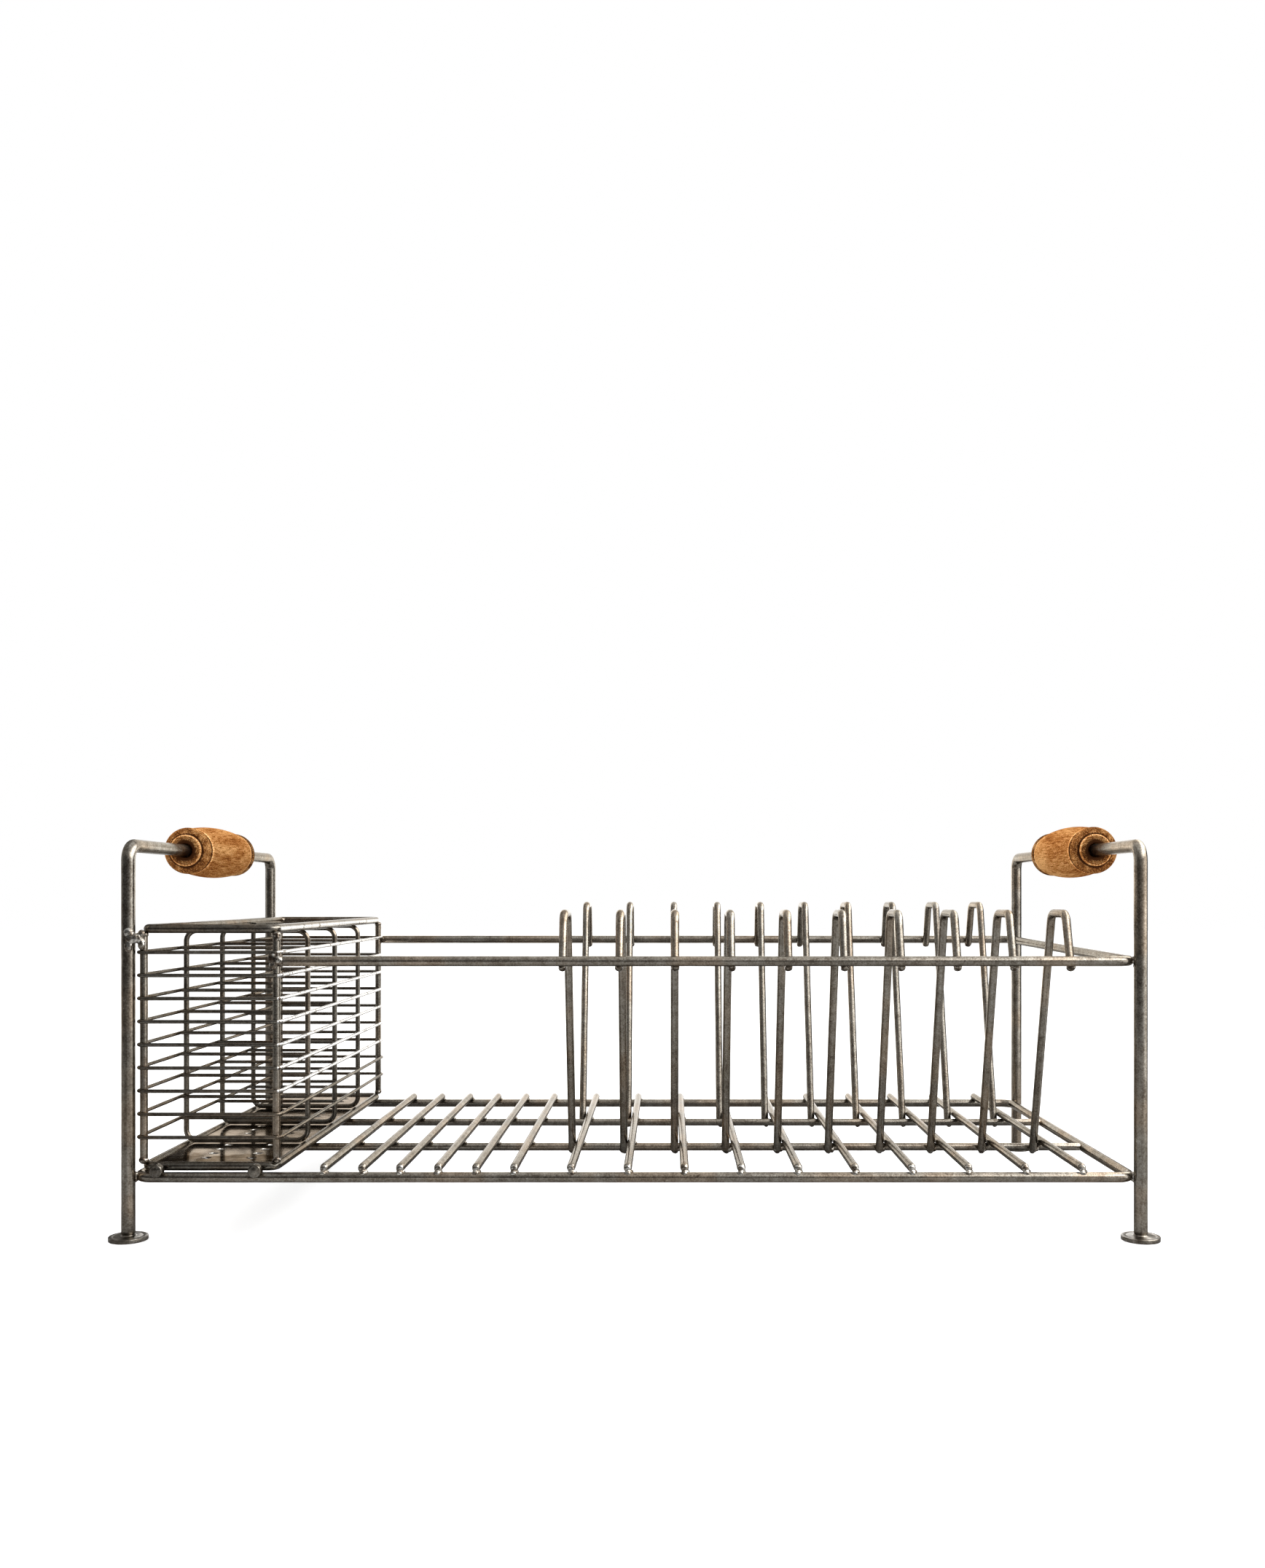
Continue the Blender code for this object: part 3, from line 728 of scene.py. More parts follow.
def divider_corners(x, rail_height, top):
    """Tail, both ends of the flat top and foot of a front divider, whose leg just touches its base bar."""
    bar = middle("base_bar_front")
    up = Vector((0, math.sin(DIVIDER_LEAN), math.cos(DIVIDER_LEAN)))
    inward = Vector((0, up.z, -up.y))
    beside_rail = Vector((x, -leg_y, rail_height)) + inward * ((RAIL_ROD + DIVIDER_ROD) / 2 + WELD_GAP)
    tail = beside_rail - up * DIVIDER_TAIL
    outer = beside_rail + up * ((top - beside_rail.z) / up.z)
    inner = outer + Vector((0, DIVIDER_TOP_WIDTH, 0))
    to_bar = Vector((x, bar.y, bar.z)) - inner
    reach = (BASE_BAR_ROD + DIVIDER_ROD) / 2 + WELD_GAP
    swing = math.asin(reach / to_bar.length)
    way = Matrix.Rotation(-swing, 3, "X") @ to_bar
    return tail, outer, inner, inner + way * math.cos(swing)


drops = []
for end, sign, rail_height, lift in (("front", 1, front_rail, 0), ("back", -1, back_rail, 0.4)):
    nodes = [f"{end}_divider_{n + 1}" for n in range(DIVIDERS)]
    first = middle(nodes[0])
    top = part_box(nodes[0])[1].z - DIVIDER_ROD / 2
    corners = [Vector((c.x, c.y * sign, c.z)) for c in divider_corners(first.x, rail_height, top)]
    master = bent_rod("divider", corners, DIVIDER_ROD, DIVIDER_BEND, sides=BAR_SIDES)
    row = [master]
    for node in nodes[1:]:
        sway = random.uniform(-DIVIDER_SWAY, DIVIDER_SWAY)
        row.append(copied(master, f"rod_{node}", (middle(node).x - first.x + sway, 0, 0)))
    master.name = f"rod_{nodes[0]}"
    for divider, node in zip(row, nodes):
        settle_rod(divider, node)
        x = middle(node).x
        tail = Vector((x, corners[0].y, corners[0].z))
        leg_end = Vector((x, corners[3].y, corners[3].z))
        lean = random.uniform(-BEAD_LEAN, BEAD_LEAN)
        drops += weld_at(
            tail,
            TAIL_HEAT,
            ((0, 0.1 * sign, lift), (2.35, 2.3, 1.9)),
            ((lean, -1.6 * sign, 0.6), (1.9, 1.5, 1.7)),
        )
        drops += weld_at(
            leg_end,
            LEG_END_HEAT,
            ((0, 0, 0.8), (2.4, 2.45, 2.6)),
            ((2.3, 0.4 * sign, 0.9 + lean), (1.5, 1.9, 2.0)),
            ((0.4, 2.2 * sign, -1.0), (1.7, 1.6, 1.4)),
        )
weld_on("divider_welds", drops)

# Cutlery basket. Two 4.7 mm rings, a cage of 4 mm corner posts with nine 2 mm rings welded round them, and
# three loops of 3 mm wire with nine cross wires each. Its steel is darker than the rest.
BASKET_RING_ROD = 4.7 * MM
BASKET_RING_BEND = 4 * MM
POST_ROD = 4 * MM
POST_BITE = 1.2 * MM
THIN_ROD = 2 * MM
THIN_BEND = 3 * MM
THIN_RINGS = 9
THIN_RING_LIFT = 15.65 * MM
THIN_RING_DROP = 12.3 * MM
PARTITION_ROD = 3 * MM
PARTITION_BEND = 6 * MM
PARTITIONS = 3
THIN_SIDES = 12
LOOP_SIDES = 16
CROSS_WIRE_BITE = 0.5 * MM
BASKET_SHARE = 0.66
POST_INSET = 0.4 * MM
THIN_CORNER = 1.5 * MM
POST_TOP_HEAT, POST_FOOT_HEAT, THIN_HEAT = 7 * MM, 8 * MM, 1.8 * MM

# Painted reflection: near-white patches on the upper wires at the basket's right side, where they mirror the
# bright backdrop.
PAINTED_REFLECTION_COLOUR = (0.84, 0.83, 0.81)
REFLECTION_FROM, REFLECTION_TO = -2.6 * MM, -1.9 * MM
REFLECTION_ABOVE = 70 * MM, 74 * MM

cage_low, cage_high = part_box("basket_cage")
painted_reflection_side = cage_high.x + REFLECTION_FROM, cage_high.x + REFLECTION_TO
basket_steel = drawn_steel("basket_steel", BASKET_SHARE, painted_reflection_side, REFLECTION_ABOVE)


def level_loop(name, low, high, height, rod, bend, sides):
    """A closed level ring that fills a box. It starts at the back, where its joint shows least."""
    left, right = low.x + rod / 2, high.x - rod / 2
    front, back = low.y + rod / 2, high.y - rod / 2
    corners = (
        (right, back, height),
        (right, front, height),
        (left, front, height),
        (left, back, height),
    )
    return bent_rod(name, corners, rod, bend, closed=True, sides=sides)


basket_heights = {}
for where in ("top", "bottom"):
    low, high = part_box(f"basket_{where}_ring")
    height = (low.z + high.z) / 2
    basket_heights[where] = height
    heavy = level_loop(f"heavy_ring_{where}", low, high, height, BASKET_RING_ROD, BASKET_RING_BEND, BAR_SIDES)
    settle_rod(heavy, f"basket_{where}_ring", basket_steel)

thin_low = basket_heights["bottom"] + THIN_RING_LIFT
thin_pitch = (basket_heights["top"] - THIN_RING_DROP - thin_low) / (THIN_RINGS - 1)
thin_heights = [thin_low + thin_pitch * number for number in range(THIN_RINGS)]
thin_ring = level_loop("cage_ring", cage_low, cage_high, thin_low, THIN_ROD, THIN_BEND, THIN_SIDES)
dress(thin_ring, basket_steel)
cage_parts = [thin_ring]
for number in range(1, THIN_RINGS):
    cage_parts.append(copied(thin_ring, "cage_ring", (0, 0, thin_pitch * number)))
post_inset = (THIN_ROD + POST_ROD / 2) - POST_INSET
post_x = cage_low.x + post_inset, cage_high.x - post_inset
post_y = cage_high.y - post_inset
first = Vector((post_x[0], -post_y, 0))
corners = (
    first + Vector((0, 0, cage_low.z - POST_BITE)),
    first + Vector((0, 0, cage_high.z + POST_BITE)),
)
post = bent_rod("cage_post", corners, POST_ROD, sides=BAR_SIDES)
dress(post, rod_steel)
cage_parts.append(post)
wide, deep = post_x[1] - post_x[0], 2 * post_y
for move in ((wide, 0, 0), (wide, deep, 0), (0, deep, 0)):
    cage_parts.append(copied(post, "cage_post", move))
settle_rod(joined(cage_parts, "wire_cage"), "basket_cage", None)

low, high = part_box("basket_partition_1")
left, right = low.x + PARTITION_ROD / 2, high.x - PARTITION_ROD / 2
bottom, top = low.z + PARTITION_ROD / 2, high.z - PARTITION_ROD / 2
y = high.y - PARTITION_ROD / 2
corners = ((right, y, top), (right, y, bottom), (left, y, bottom), (left, y, top))
loop = bent_rod("partition_loop", corners, PARTITION_ROD, PARTITION_BEND, closed=True, sides=LOOP_SIDES)
wire_y = low.y + THIN_ROD / 2
wire_start = Vector((cage_low.x + THIN_ROD - CROSS_WIRE_BITE, wire_y, thin_low))
wire_end = Vector((cage_high.x - THIN_ROD + CROSS_WIRE_BITE, wire_y, thin_low))
wire = bent_rod("cross_wire", (wire_start, wire_end), THIN_ROD, sides=THIN_SIDES)
wires = [wire]
for number in range(1, THIN_RINGS):
    wires.append(copied(wire, "cross_wire", (0, 0, thin_pitch * number)))
loop = joined([*wires, loop], "partition_loop_1")
loops = [loop]
for number in range(1, PARTITIONS):
    move = middle(f"basket_partition_{number + 1}") - middle("basket_partition_1")
    loops.append(copied(loop, f"partition_loop_{number + 1}", move))
for number, loop in enumerate(loops):
    settle_rod(loop, f"basket_partition_{number + 1}", basket_steel)

drops = []
for x in post_x:
    outward = math.copysign(1, x - middle("basket_cage").x)
    for sign in (-1, 1):
        upright = Vector((x, sign * post_y, 0))
        top = upright + Vector((0, 0, cage_high.z))
        foot = upright + Vector((0, 0, cage_low.z))
        drops += weld_at(
            top,
            POST_TOP_HEAT,
            ((0, 0, -0.4), (2.45, 2.45, 1.9)),
            ((0.7 * outward, 1.2 * sign, -2.2), (1.5, 1.3, 2.3)),
        )
        drops += weld_at(
            foot,
            POST_FOOT_HEAT,
            ((0, 0, 0.5), (2.5, 2.5, 2.0)),
            ((0.4 * outward, 1.4 * sign, 1.0), (1.9, 1.5, 1.9)),
        )
        for height in thin_heights:
            corner = upright + Vector((THIN_CORNER * outward, THIN_CORNER * sign, height))
            drops += weld_at(corner, THIN_HEAT, ((0, 0, 0), (1.5, 1.5, 1.15)))
weld_on("basket_welds", drops)

# Leg bridges. Two welds hold the basket between the left legs, one in front and one behind. Each is run
# from rod to rod as two lumps with a neck between them, and brushed bright.
BRIDGE_SHIFT = 4 * MM
BRIDGE_HEIGHT = 157.7 * MM
BRIDGE_HEAT = 9 * MM

drops = []
for sign in (-1, 1):
    drops += weld_at(
        Vector((BRIDGE_SHIFT - leg_x, sign * leg_y, BRIDGE_HEIGHT)),
        BRIDGE_HEAT,
        ((-3.0, 2.6 * sign, 3.9), (2.6, 1.6, 3.0)),
        ((-2.3, 2.6 * sign, 0.5), (2.7, 1.6, 2.9)),
        ((-3.0, 2.6 * sign, -3.4), (2.3, 1.6, 3.6)),
        ((-0.1, 1.7 * sign, 0.9), (2.8, 2.0, 3.0)),
        ((1.6, 1.1 * sign, 0.9), (2.5, 2.0, 2.7)),
        ((3.2, 0.3 * sign, 3.1), (2.1, 2.1, 2.3)),
        ((3.3, 0.6 * sign, -2.3), (2.1, 1.9, 3.5)),
    )
weld_on("leg_bridge_welds", drops, clean_weld)

# Basket floor. A 1 mm sheet with two columns of punched drain holes, laid under the partitions inside the
# lower ring and tacked to it. The punch leaves a slightly drawn-in edge.
HOLE_DIAMETER = 5 * MM
HOLE_PITCH = 12.2 * MM
HOLE_COLUMN_SPACING = 24.4 * MM
HOLE_COLUMN_SHIFT = 3.4 * MM
HOLE_EDGE = 4 * MM
HOLE_SIDES = 24
SHEET_CORNER, SHEET_CORNER_SEGMENTS = 3 * MM, 6
SHEET_EDGE, SHEET_EDGE_SEGMENTS = 0.35 * MM, 2
SHEET_SHARP = math.radians(60)
UPRIGHT = 0.9

low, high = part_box("basket_plate")
centre = middle("basket_plate")
bpy.ops.mesh.primitive_plane_add(size=1, location=(centre.x, centre.y, low.z))
sheet = bpy.context.object
sheet.name = "punched_sheet"
sheet.scale = (high.x - low.x, high.y - low.y, 1)
bpy.ops.object.transform_apply()
edit_all()
draw_out((0, 0, high.z - low.z))
face_outwards()
bpy.ops.object.mode_set(mode="EDIT")
bpy.ops.mesh.select_all(action="DESELECT")
shape = bmesh.from_edit_mesh(sheet.data)
for edge in shape.edges:
    upright = (edge.verts[0].co - edge.verts[1].co).normalized()
    edge.select_set(abs(upright.z) > UPRIGHT)
bmesh.update_edit_mesh(sheet.data)
bpy.ops.mesh.bevel(offset=SHEET_CORNER, segments=SHEET_CORNER_SEGMENTS)
bpy.ops.object.mode_set(mode="OBJECT")
rows = int(2 * (high.y - HOLE_EDGE) / HOLE_PITCH)
punches = []
for column in (-1, 1):
    for row in range(rows):
        x = centre.x + HOLE_COLUMN_SHIFT + column * HOLE_COLUMN_SPACING / 2
        y = HOLE_PITCH * (row - (rows - 1) / 2)
        bpy.ops.mesh.primitive_cylinder_add(
            vertices=HOLE_SIDES,
            radius=HOLE_DIAMETER / 2,
            depth=HOLE_DIAMETER,
            location=(x, y, low.z),
        )
        punches.append(bpy.context.object)
punch = joined(punches, "punch")
bpy.ops.object.transform_apply()
modify(sheet, "BOOLEAN", operation="DIFFERENCE", solver="EXACT", object=punch)
bpy.data.objects.remove(punch)
ease_edges(sheet, SHEET_EDGE, SHEET_EDGE_SEGMENTS, SHEET_SHARP)
bpy.ops.object.shade_flat()

SHEET_SCALE = (
    (0.0, (0.055, 0.042, 0.032)),
    (0.4, (0.19, 0.165, 0.135)),
    (1.0, (0.58, 0.55, 0.50)),
)
SHEET_EDGE_TINT = (0.38, 0.33, 0.28, 1)
SHEET_PATCH_SIZE = 14 * MM
SHEET_DEPTH, SHEET_BUMP = 0.05 * MM, 0.3
# The sheet is darker along its front strip, and the band behind that strip is lightened as a painted
# reflection.
FRONT_STRIP_RAGGED = 30 * MM
FRONT_STRIP_END = low.y + 32 * MM, low.y + 40 * MM
REFLECTION_BAND = low.y + 62 * MM, low.y + 80 * MM


def rolled_steel():
    """Smooth rolled sheet that mirrors its surroundings, with brown patches of heat and dried drips. It is
    darker along its front strip, and the band behind that strip carries a painted reflection.
    """
    material = bpy.data.materials.new("rolled_steel")
    steel = Finish(material)
    place = steel.place()
    patches = steel.noise(place, SHEET_PATCH_SIZE, 3)
    blotches = steel.noise(place, BLOTCH_SIZE, 4)
    grain = steel.noise(place, GRAIN_SIZE, 3)
    toward_back = steel.part(place, "Y") + patches * FRONT_STRIP_RAGGED
    past_front_strip = steel.rising(toward_back, *FRONT_STRIP_END)
    painted_reflection_band = past_front_strip * (1 - steel.rising(toward_back, *REFLECTION_BAND))
    # Darker front strip, then a lighter band that is a painted reflection.
    tone = patches * 1.6 + blotches * 1.3 + grain * 0.5 - 1.45 + past_front_strip * 0.35 + painted_reflection_band * 0.5
    colour = steel.ramp(tone, SHEET_SCALE)
    bump = steel.bump(blotches + grain * 0.3, SHEET_DEPTH, SHEET_BUMP)
    steel.set(Base_Color=colour, Roughness=grain * 0.12 + blotches * 0.1, Metallic=1.0, Normal=bump)
    steel.set(Specular_Tint=SHEET_EDGE_TINT)
    return material


settle(sheet, rolled_steel(), "steel_sheet", "frame", "basket_plate")

# Ties. Two short slices of 7 mm rod, welded in front across the joint of the basket's lower ring and the base
# ring. Their sawn faces are dished a little and their edges are eased.
TIE_DIAMETER = 6.9 * MM
TIE_EDGE = 0.8 * MM
TIE_SIDES = 32
TIE_BITE = 1 * MM
TIE_RIM_SHARE, TIE_RIM_SLOPE = 1.6, 0.2
TIE_DISH_SLOPE = 0.3
UPENDED = (math.pi / 2, 0, 0)

for side in ("left", "right"):
    node = f"basket_tie_{side}"
    low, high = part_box(node)
    centre = middle(node)
    place = (centre.x, high.y + TIE_BITE, centre.z)
    tie = circle(f"rod_slice_{side}", TIE_SIDES, TIE_DIAMETER / 2, place, UPENDED, "NGON")
    draw_out((0, low.y - high.y - TIE_BITE, 0))
    bpy.ops.mesh.inset(thickness=TIE_EDGE * TIE_RIM_SHARE, depth=-TIE_EDGE * TIE_RIM_SLOPE)
    bpy.ops.mesh.inset(thickness=TIE_EDGE, depth=TIE_EDGE * TIE_DISH_SLOPE)
    face_outwards()
    ease_edges(tie, TIE_EDGE)
    displace(tie, WOBBLE * 2, TIE_DIAMETER / 3)
    smooth(tie)
    settle_rod(tie, node, basket_steel)

# Grips. Two barrels turned from warm brown hardwood and bored to turn on the handle rods, with a groove, a
# collar and a nose at each end. The groove is burnished dark, and the wood is oiled.
GRIP_LENGTH = 92 * MM
GRIP_BORE = 8.4 * MM
BARREL_DIAMETER = 31 * MM
BARREL_END_DIAMETER = 26.6 * MM
BARREL_EDGE = 0.7 * MM
GROOVE_DIAMETER = 23.4 * MM
GROOVE_WIDTH = 1.4 * MM
COLLAR_DIAMETER = 27.4 * MM
COLLAR_WIDTH = 5.6 * MM
NOSE_DIAMETER = 18.6 * MM
NOSE_LENGTH = 2 * MM
NOSE_EDGE = 0.6 * MM
GRIP_SIDES = 72
BARREL_STEPS = 8
COLLAR_STEPS = 9
COLLAR_ARC_START, COLLAR_ARC, COLLAR_FULLNESS = 0.12, 0.8, 0.6
EASED_IN, EASED_BACK = 0.3, 0.12
GROOVE_SLOPE = 0.2 * MM
TIP = GRIP_LENGTH / 2
GROOVE = TIP - NOSE_LENGTH - COLLAR_WIDTH - GROOVE_WIDTH
NOSE_RADIUS = NOSE_DIAMETER / 2
BORE_RADIUS = GRIP_BORE / 2


def grip_outline():
    """Radius and height of the grip's outline, from the middle of the barrel to the edge of the bore."""
    collar_start = GROOVE + GROOVE_WIDTH
    barrel = []
    for step in range(BARREL_STEPS + 1):
        share = step / BARREL_STEPS
        swell = (BARREL_DIAMETER - BARREL_END_DIAMETER) / 2
        barrel.append((BARREL_DIAMETER / 2 - swell * share**2, (GROOVE - BARREL_EDGE / 2) * share))
    end = barrel[-1][0]
    edge = [(end - BARREL_EDGE * EASED_IN, GROOVE - BARREL_EDGE * EASED_BACK), (end - BARREL_EDGE, GROOVE)]
    groove = [(GROOVE_DIAMETER / 2, GROOVE + GROOVE_SLOPE), (GROOVE_DIAMETER / 2, collar_start)]
    rise = (COLLAR_DIAMETER - GROOVE_DIAMETER) / 2
    collar = []
    for step in range(COLLAR_STEPS + 1):
        share = step / COLLAR_STEPS
        peak = math.sin(math.pi * (COLLAR_ARC_START + COLLAR_ARC * share)) ** COLLAR_FULLNESS
        collar.append((GROOVE_DIAMETER / 2 + rise * peak, collar_start + COLLAR_WIDTH * share))
    nose = [
        (NOSE_RADIUS, collar_start + COLLAR_WIDTH),
        (NOSE_RADIUS, TIP - NOSE_EDGE),
        (NOSE_RADIUS - NOSE_EDGE * EASED_IN, TIP - NOSE_EDGE * EASED_IN),
        (NOSE_RADIUS - NOSE_EDGE, TIP),
        (BORE_RADIUS + NOSE_EDGE, TIP),
        (BORE_RADIUS, TIP - NOSE_EDGE),
    ]
    return barrel + edge + groove + collar + nose


WOOD_SCALE = (
    (0.0, (0.17, 0.045, 0.010)),
    (0.35, (0.37, 0.128, 0.030)),
    (0.6, (0.56, 0.228, 0.064)),
    (1.0, (0.90, 0.500, 0.200)),
)
PORE_CAST = (0.50, 0.36, 0.26)
BURNT_AND_SHADE_COLOUR = (0.075, 0.026, 0.009)
RIM_CAST = (1.75, 2.0, 2.4)
PORE_SIZE, PORE_SHARE = 0.7 * MM, 0.08
FLECK_SIZE, FLECK_SHARE = 0.42 * MM, 0.5
BAND_SIZE, BAND_SHARE = 5 * MM, 0.15
BROAD_SIZE, BROAD_SHARE = 25 * MM, 0.4
BARREL_RIM = GROOVE - 2.38 * MM, GROOVE - 1.82 * MM
BURNT = GROOVE - 0.42 * MM, GROOVE
PAST_GROOVE = GROOVE + 1.12 * MM, GROOVE + 2.1 * MM
NOSE_STEP_SHADE = TIP - 4 * MM, TIP - 2.4 * MM
NOSE_FACE = TIP - 1.6 * MM, TIP - 0.8 * MM
NOSE_RIM = NOSE_RADIUS - 1.05 * MM, NOSE_RADIUS - 0.56 * MM
PAST_STEP_SHADE = NOSE_RADIUS + 0.45 * MM, NOSE_RADIUS + 1.5 * MM
BORE_SHADE = BORE_RADIUS, BORE_RADIUS + 3 * MM
PAINTED_LIGHT_FAR_END = -10 * MM, 35 * MM
FAR_COLLAR_SHADE = 0, 23 * MM
CHARRED_AND_SHADED = 0.0, 1.1
PORED, PORE_STRENGTH = (0.44, 0.36), 0.5
FLECKED = 0.38, 0.62
WOOD_DEPTH, WOOD_BUMP = 0.16 * MM, 0.55


def oiled_wood(name, centre):
    """Honey-brown hardwood with short dark pores, soft bands, and burnt grooves with light rims. It is
    painted lighter towards the far end, with painted shade round the bore, at the step before the nose and on
    the far collar.
    """
    material = bpy.data.materials.new(name)
    wood = Finish(material)
    place = wood.place()
    centred = wood.node("ShaderNodeVectorMath", {"operation": "SUBTRACT"}, {0: place, 1: centre})
    along = wood.part(centred, "Y")
    from_middle = wood.math_node("ABSOLUTE", along)
    across = wood.stretched(centred, (1, 0, 1))
    radius = wood.node("ShaderNodeVectorMath", {"operation": "LENGTH"}, {0: across}, "Value")
    dashes = wood.noise(wood.stretched(centred, (1, PORE_SHARE, 1)), PORE_SIZE, 2)
    speckle = wood.noise(centred, PORE_SIZE, 3)
    fine = wood.noise(wood.stretched(centred, (1, FLECK_SHARE, 1)), FLECK_SIZE, 2)
    bands = wood.noise(wood.stretched(centred, (1, BAND_SHARE, 1)), BAND_SIZE, 4)
    broad = wood.noise(wood.stretched(centred, (1, BROAD_SHARE, 1)), BROAD_SIZE, 2)
    tone = bands * 1.2 + broad * 0.9 + dashes * 1.3 + speckle * 1.4 + fine * 1.2
    # Painted light: the tone rises towards the far end of each grip.
    tone = tone + wood.rising(along, *PAINTED_LIGHT_FAR_END) * 0.16 - 2.45
    colour = wood.ramp(tone, WOOD_SCALE)
    pores = wood.rising(dashes * 0.65 + speckle * 0.35, *PORED)
    colour = wood.blend(pores * PORE_STRENGTH, colour, PORE_CAST, "MULTIPLY")
    burnt = wood.rising(from_middle, *BURNT)
    nose = wood.rising(from_middle, *NOSE_FACE)
    outer = wood.rising(radius, *NOSE_RIM)
    rims = wood.rising(from_middle, *BARREL_RIM) * (1 - burnt) + nose * outer
    colour = wood.blend(rims, colour, RIM_CAST, "MULTIPLY")
    # Painted shade in the recess round the bore, on the nose face.
    painted_bore_shade = 1 - wood.rising(radius, *BORE_SHADE)
    in_groove = burnt * (1 - wood.rising(from_middle, *PAST_GROOVE))
    # Painted shade in the crease where the collar steps down to the nose.
    painted_step_shade = wood.rising(from_middle, *NOSE_STEP_SHADE) * (1 - nose) * (1 - wood.rising(radius, *PAST_STEP_SHADE))
    # Painted shade on the collar at the far end.
    painted_far_collar_shade = wood.rising(along, *FAR_COLLAR_SHADE) * burnt
    # The burnt colour paints both the real scorching and the painted shade at the bore, the step and the far
    # collar.
    scorch_and_shade = burnt * (1 - nose) * 0.78 + nose * painted_bore_shade * 1.5 + nose * (1 - outer)
    scorch_and_shade = scorch_and_shade + in_groove * 0.9 + painted_step_shade * 0.9 + painted_far_collar_shade * 0.35
    flecks = wood.rising(fine * 0.6 + bands * 0.4, *FLECKED)
    colour = wood.blend(wood.rising(scorch_and_shade - flecks * 0.85, *CHARRED_AND_SHADED), colour, BURNT_AND_SHADE_COLOUR)
    bump = wood.bump(dashes * 0.5 + speckle * 0.7 + bands * 0.3, WOOD_DEPTH, WOOD_BUMP)
    wood.set(Base_Color=colour, Roughness=bands * 0.2 + 0.36, Metallic=0.0, Normal=bump)
    wood.set(Specular_IOR_Level=0.0)
    return material


half = grip_outline()
outline = [(radius, -height) for radius, height in reversed(half[1:])] + half
for side in ("left", "right"):
    node = f"grip_{side}"
    centre = middle(node)
    radius, height = outline[0]
    grip = circle(f"turned_grip_{side}", GRIP_SIDES, radius, centre + Vector((0, height, 0)), UPENDED)
    for (before, start), (radius, height) in zip(outline, outline[1:] + outline[:1]):
        draw_out((0, height - start, 0))
        share = radius / before
        ring = centre + Vector((0, height, 0))
        bpy.ops.transform.resize(value=(share, 1, share), center_override=ring)
    bpy.ops.mesh.select_all(action="SELECT")
    bpy.ops.mesh.remove_doubles(threshold=MERGE_DISTANCE)
    face_outwards()
    smooth(grip)
    settle(grip, oiled_wood(f"oiled_wood_{side}", centre), "grip_wood", f"grip_{side}", node)

# Heat. Steel keeps brown and dark temper colours for a centimetre or so round every weld. Each vertex takes
# its heat from the welds near it.
HEAT_ENDS = 2

for piece in rods:
    heat = piece.data.attributes.new("heat", "FLOAT", "POINT")
    low = Vector(piece.bound_box[0])
    high = Vector(piece.bound_box[6])
    near = []
    for spot, reach in welds:
        margin = HEAT_ENDS * reach
        if all(low[i] - margin < spot[i] < high[i] + margin for i in range(3)):
            near.append((spot, reach))
    for entry, vertex in zip(heat.data, piece.data.vertices):
        entry.value = sum(math.exp(-((vertex.co - spot).length / reach) ** 2) for spot, reach in near)

# The studio: a wide pale floor and three soft lamps, one overhead and one at each side. A round wall with a
# ceiling and a bright backdrop, which only reflections show, give the metal the parts of a room to mirror.
FLOOR_SIZE = 12
FLOOR_COLOUR = 0.8
NEAR_LIFT, FAR_LIFT = 0.66, 0.78
NEAR_REACH, FAR_REACH = 0.35, 2.2
WORLD_LEVEL = 0.45
LAMPS = (
    ("overhead_lamp", (0.0, 0.3, 1.6), 1.6, 16),
    ("right_lamp", (1.5, -0.55, 0.75), 0.9, 9),
    ("left_lamp", (-1.3, 0.1, 0.7), 0.9, 10),
)
LAMP_AIM = (0, 0, 0.1)
WALL_RADIUS = 1
WALL_HEIGHT = 1
WALL_SIDES = 72
WALL_LEVELS = (
    (-125, 0.05),
    (-116, 0.80),
    (-98, 0.80),
    (-80, 0.18),
    (-60, 0.08),
    (-20, 0.10),
    (5, 0.24),
    (25, 0.38),
    (46, 1.30),
    (57, 2.00),
    (68, 1.60),
    (75, 3.70),
    (93, 0.05),
    (138, 0.04),
)
WALL_BRIGHTEST = 6.0
WALL_OPENS = 0.83
BACKDROP_DISTANCE = 3
BACKDROP_SIZE = 6
BACKDROP_LOW, BACKDROP_HIGH = 3.0, 2.2
BACKDROP_FADE = 0.38, 0.58
WALL_FADE = 0.4, 0.65
CEILING_LEVELS = (
    (-0.5, 0.40),
    (-0.34, 0.60),
    (-0.24, 0.90),
    (0.1, 1.05),
    (0.36, 1.25),
    (0.5, 2.4),
    (0.65, 6.0),
)
FRONT_LEVELS = (
    (-0.5, 0.35),
    (0.1, 0.70),
    (0.34, 2.0),
    (0.5, 3.0),
    (0.65, 6.0),
)
FRONT_FADE = -0.65, -0.3
FLOOR_SHADES = (
    (-0.5, 0.62),
    (-0.27, 0.60),
    (-0.2, 0.10),
    (-0.1, 0.42),
)
UNDER_FRONT, UNDER_BACK, UNDER_SIDE = (-0.14, -0.07), (0.13, 0.2), (0.25, 0.3)
UNDER_SHADE = 0.8
BOUNCE_SHADE = 0.3
FLOOR_BEHIND = 0.5, 0.9
FLOOR_BEHIND_GLOW = 2


def grey_stops(levels, start, width, brightest=1):
    """The stops of a grey ramp that runs over this width, from pairs of place and level."""
    return [((place - start) / width, (level / brightest,) * 3) for place, level in levels]


def ray(finish, kind):
    """1 for rays of this kind and 0 for others."""
    return finish.node("ShaderNodeLightPath", {}, {}, f"Is {kind} Ray")


def shine(finish, colour, strength):
    """Makes a surface give off light and reflect none."""
    finish.set(Base_Color=(0, 0, 0, 1), Roughness=1.0, Specular_IOR_Level=0.0)
    finish.set(Emission_Color=colour, Emission_Strength=strength)


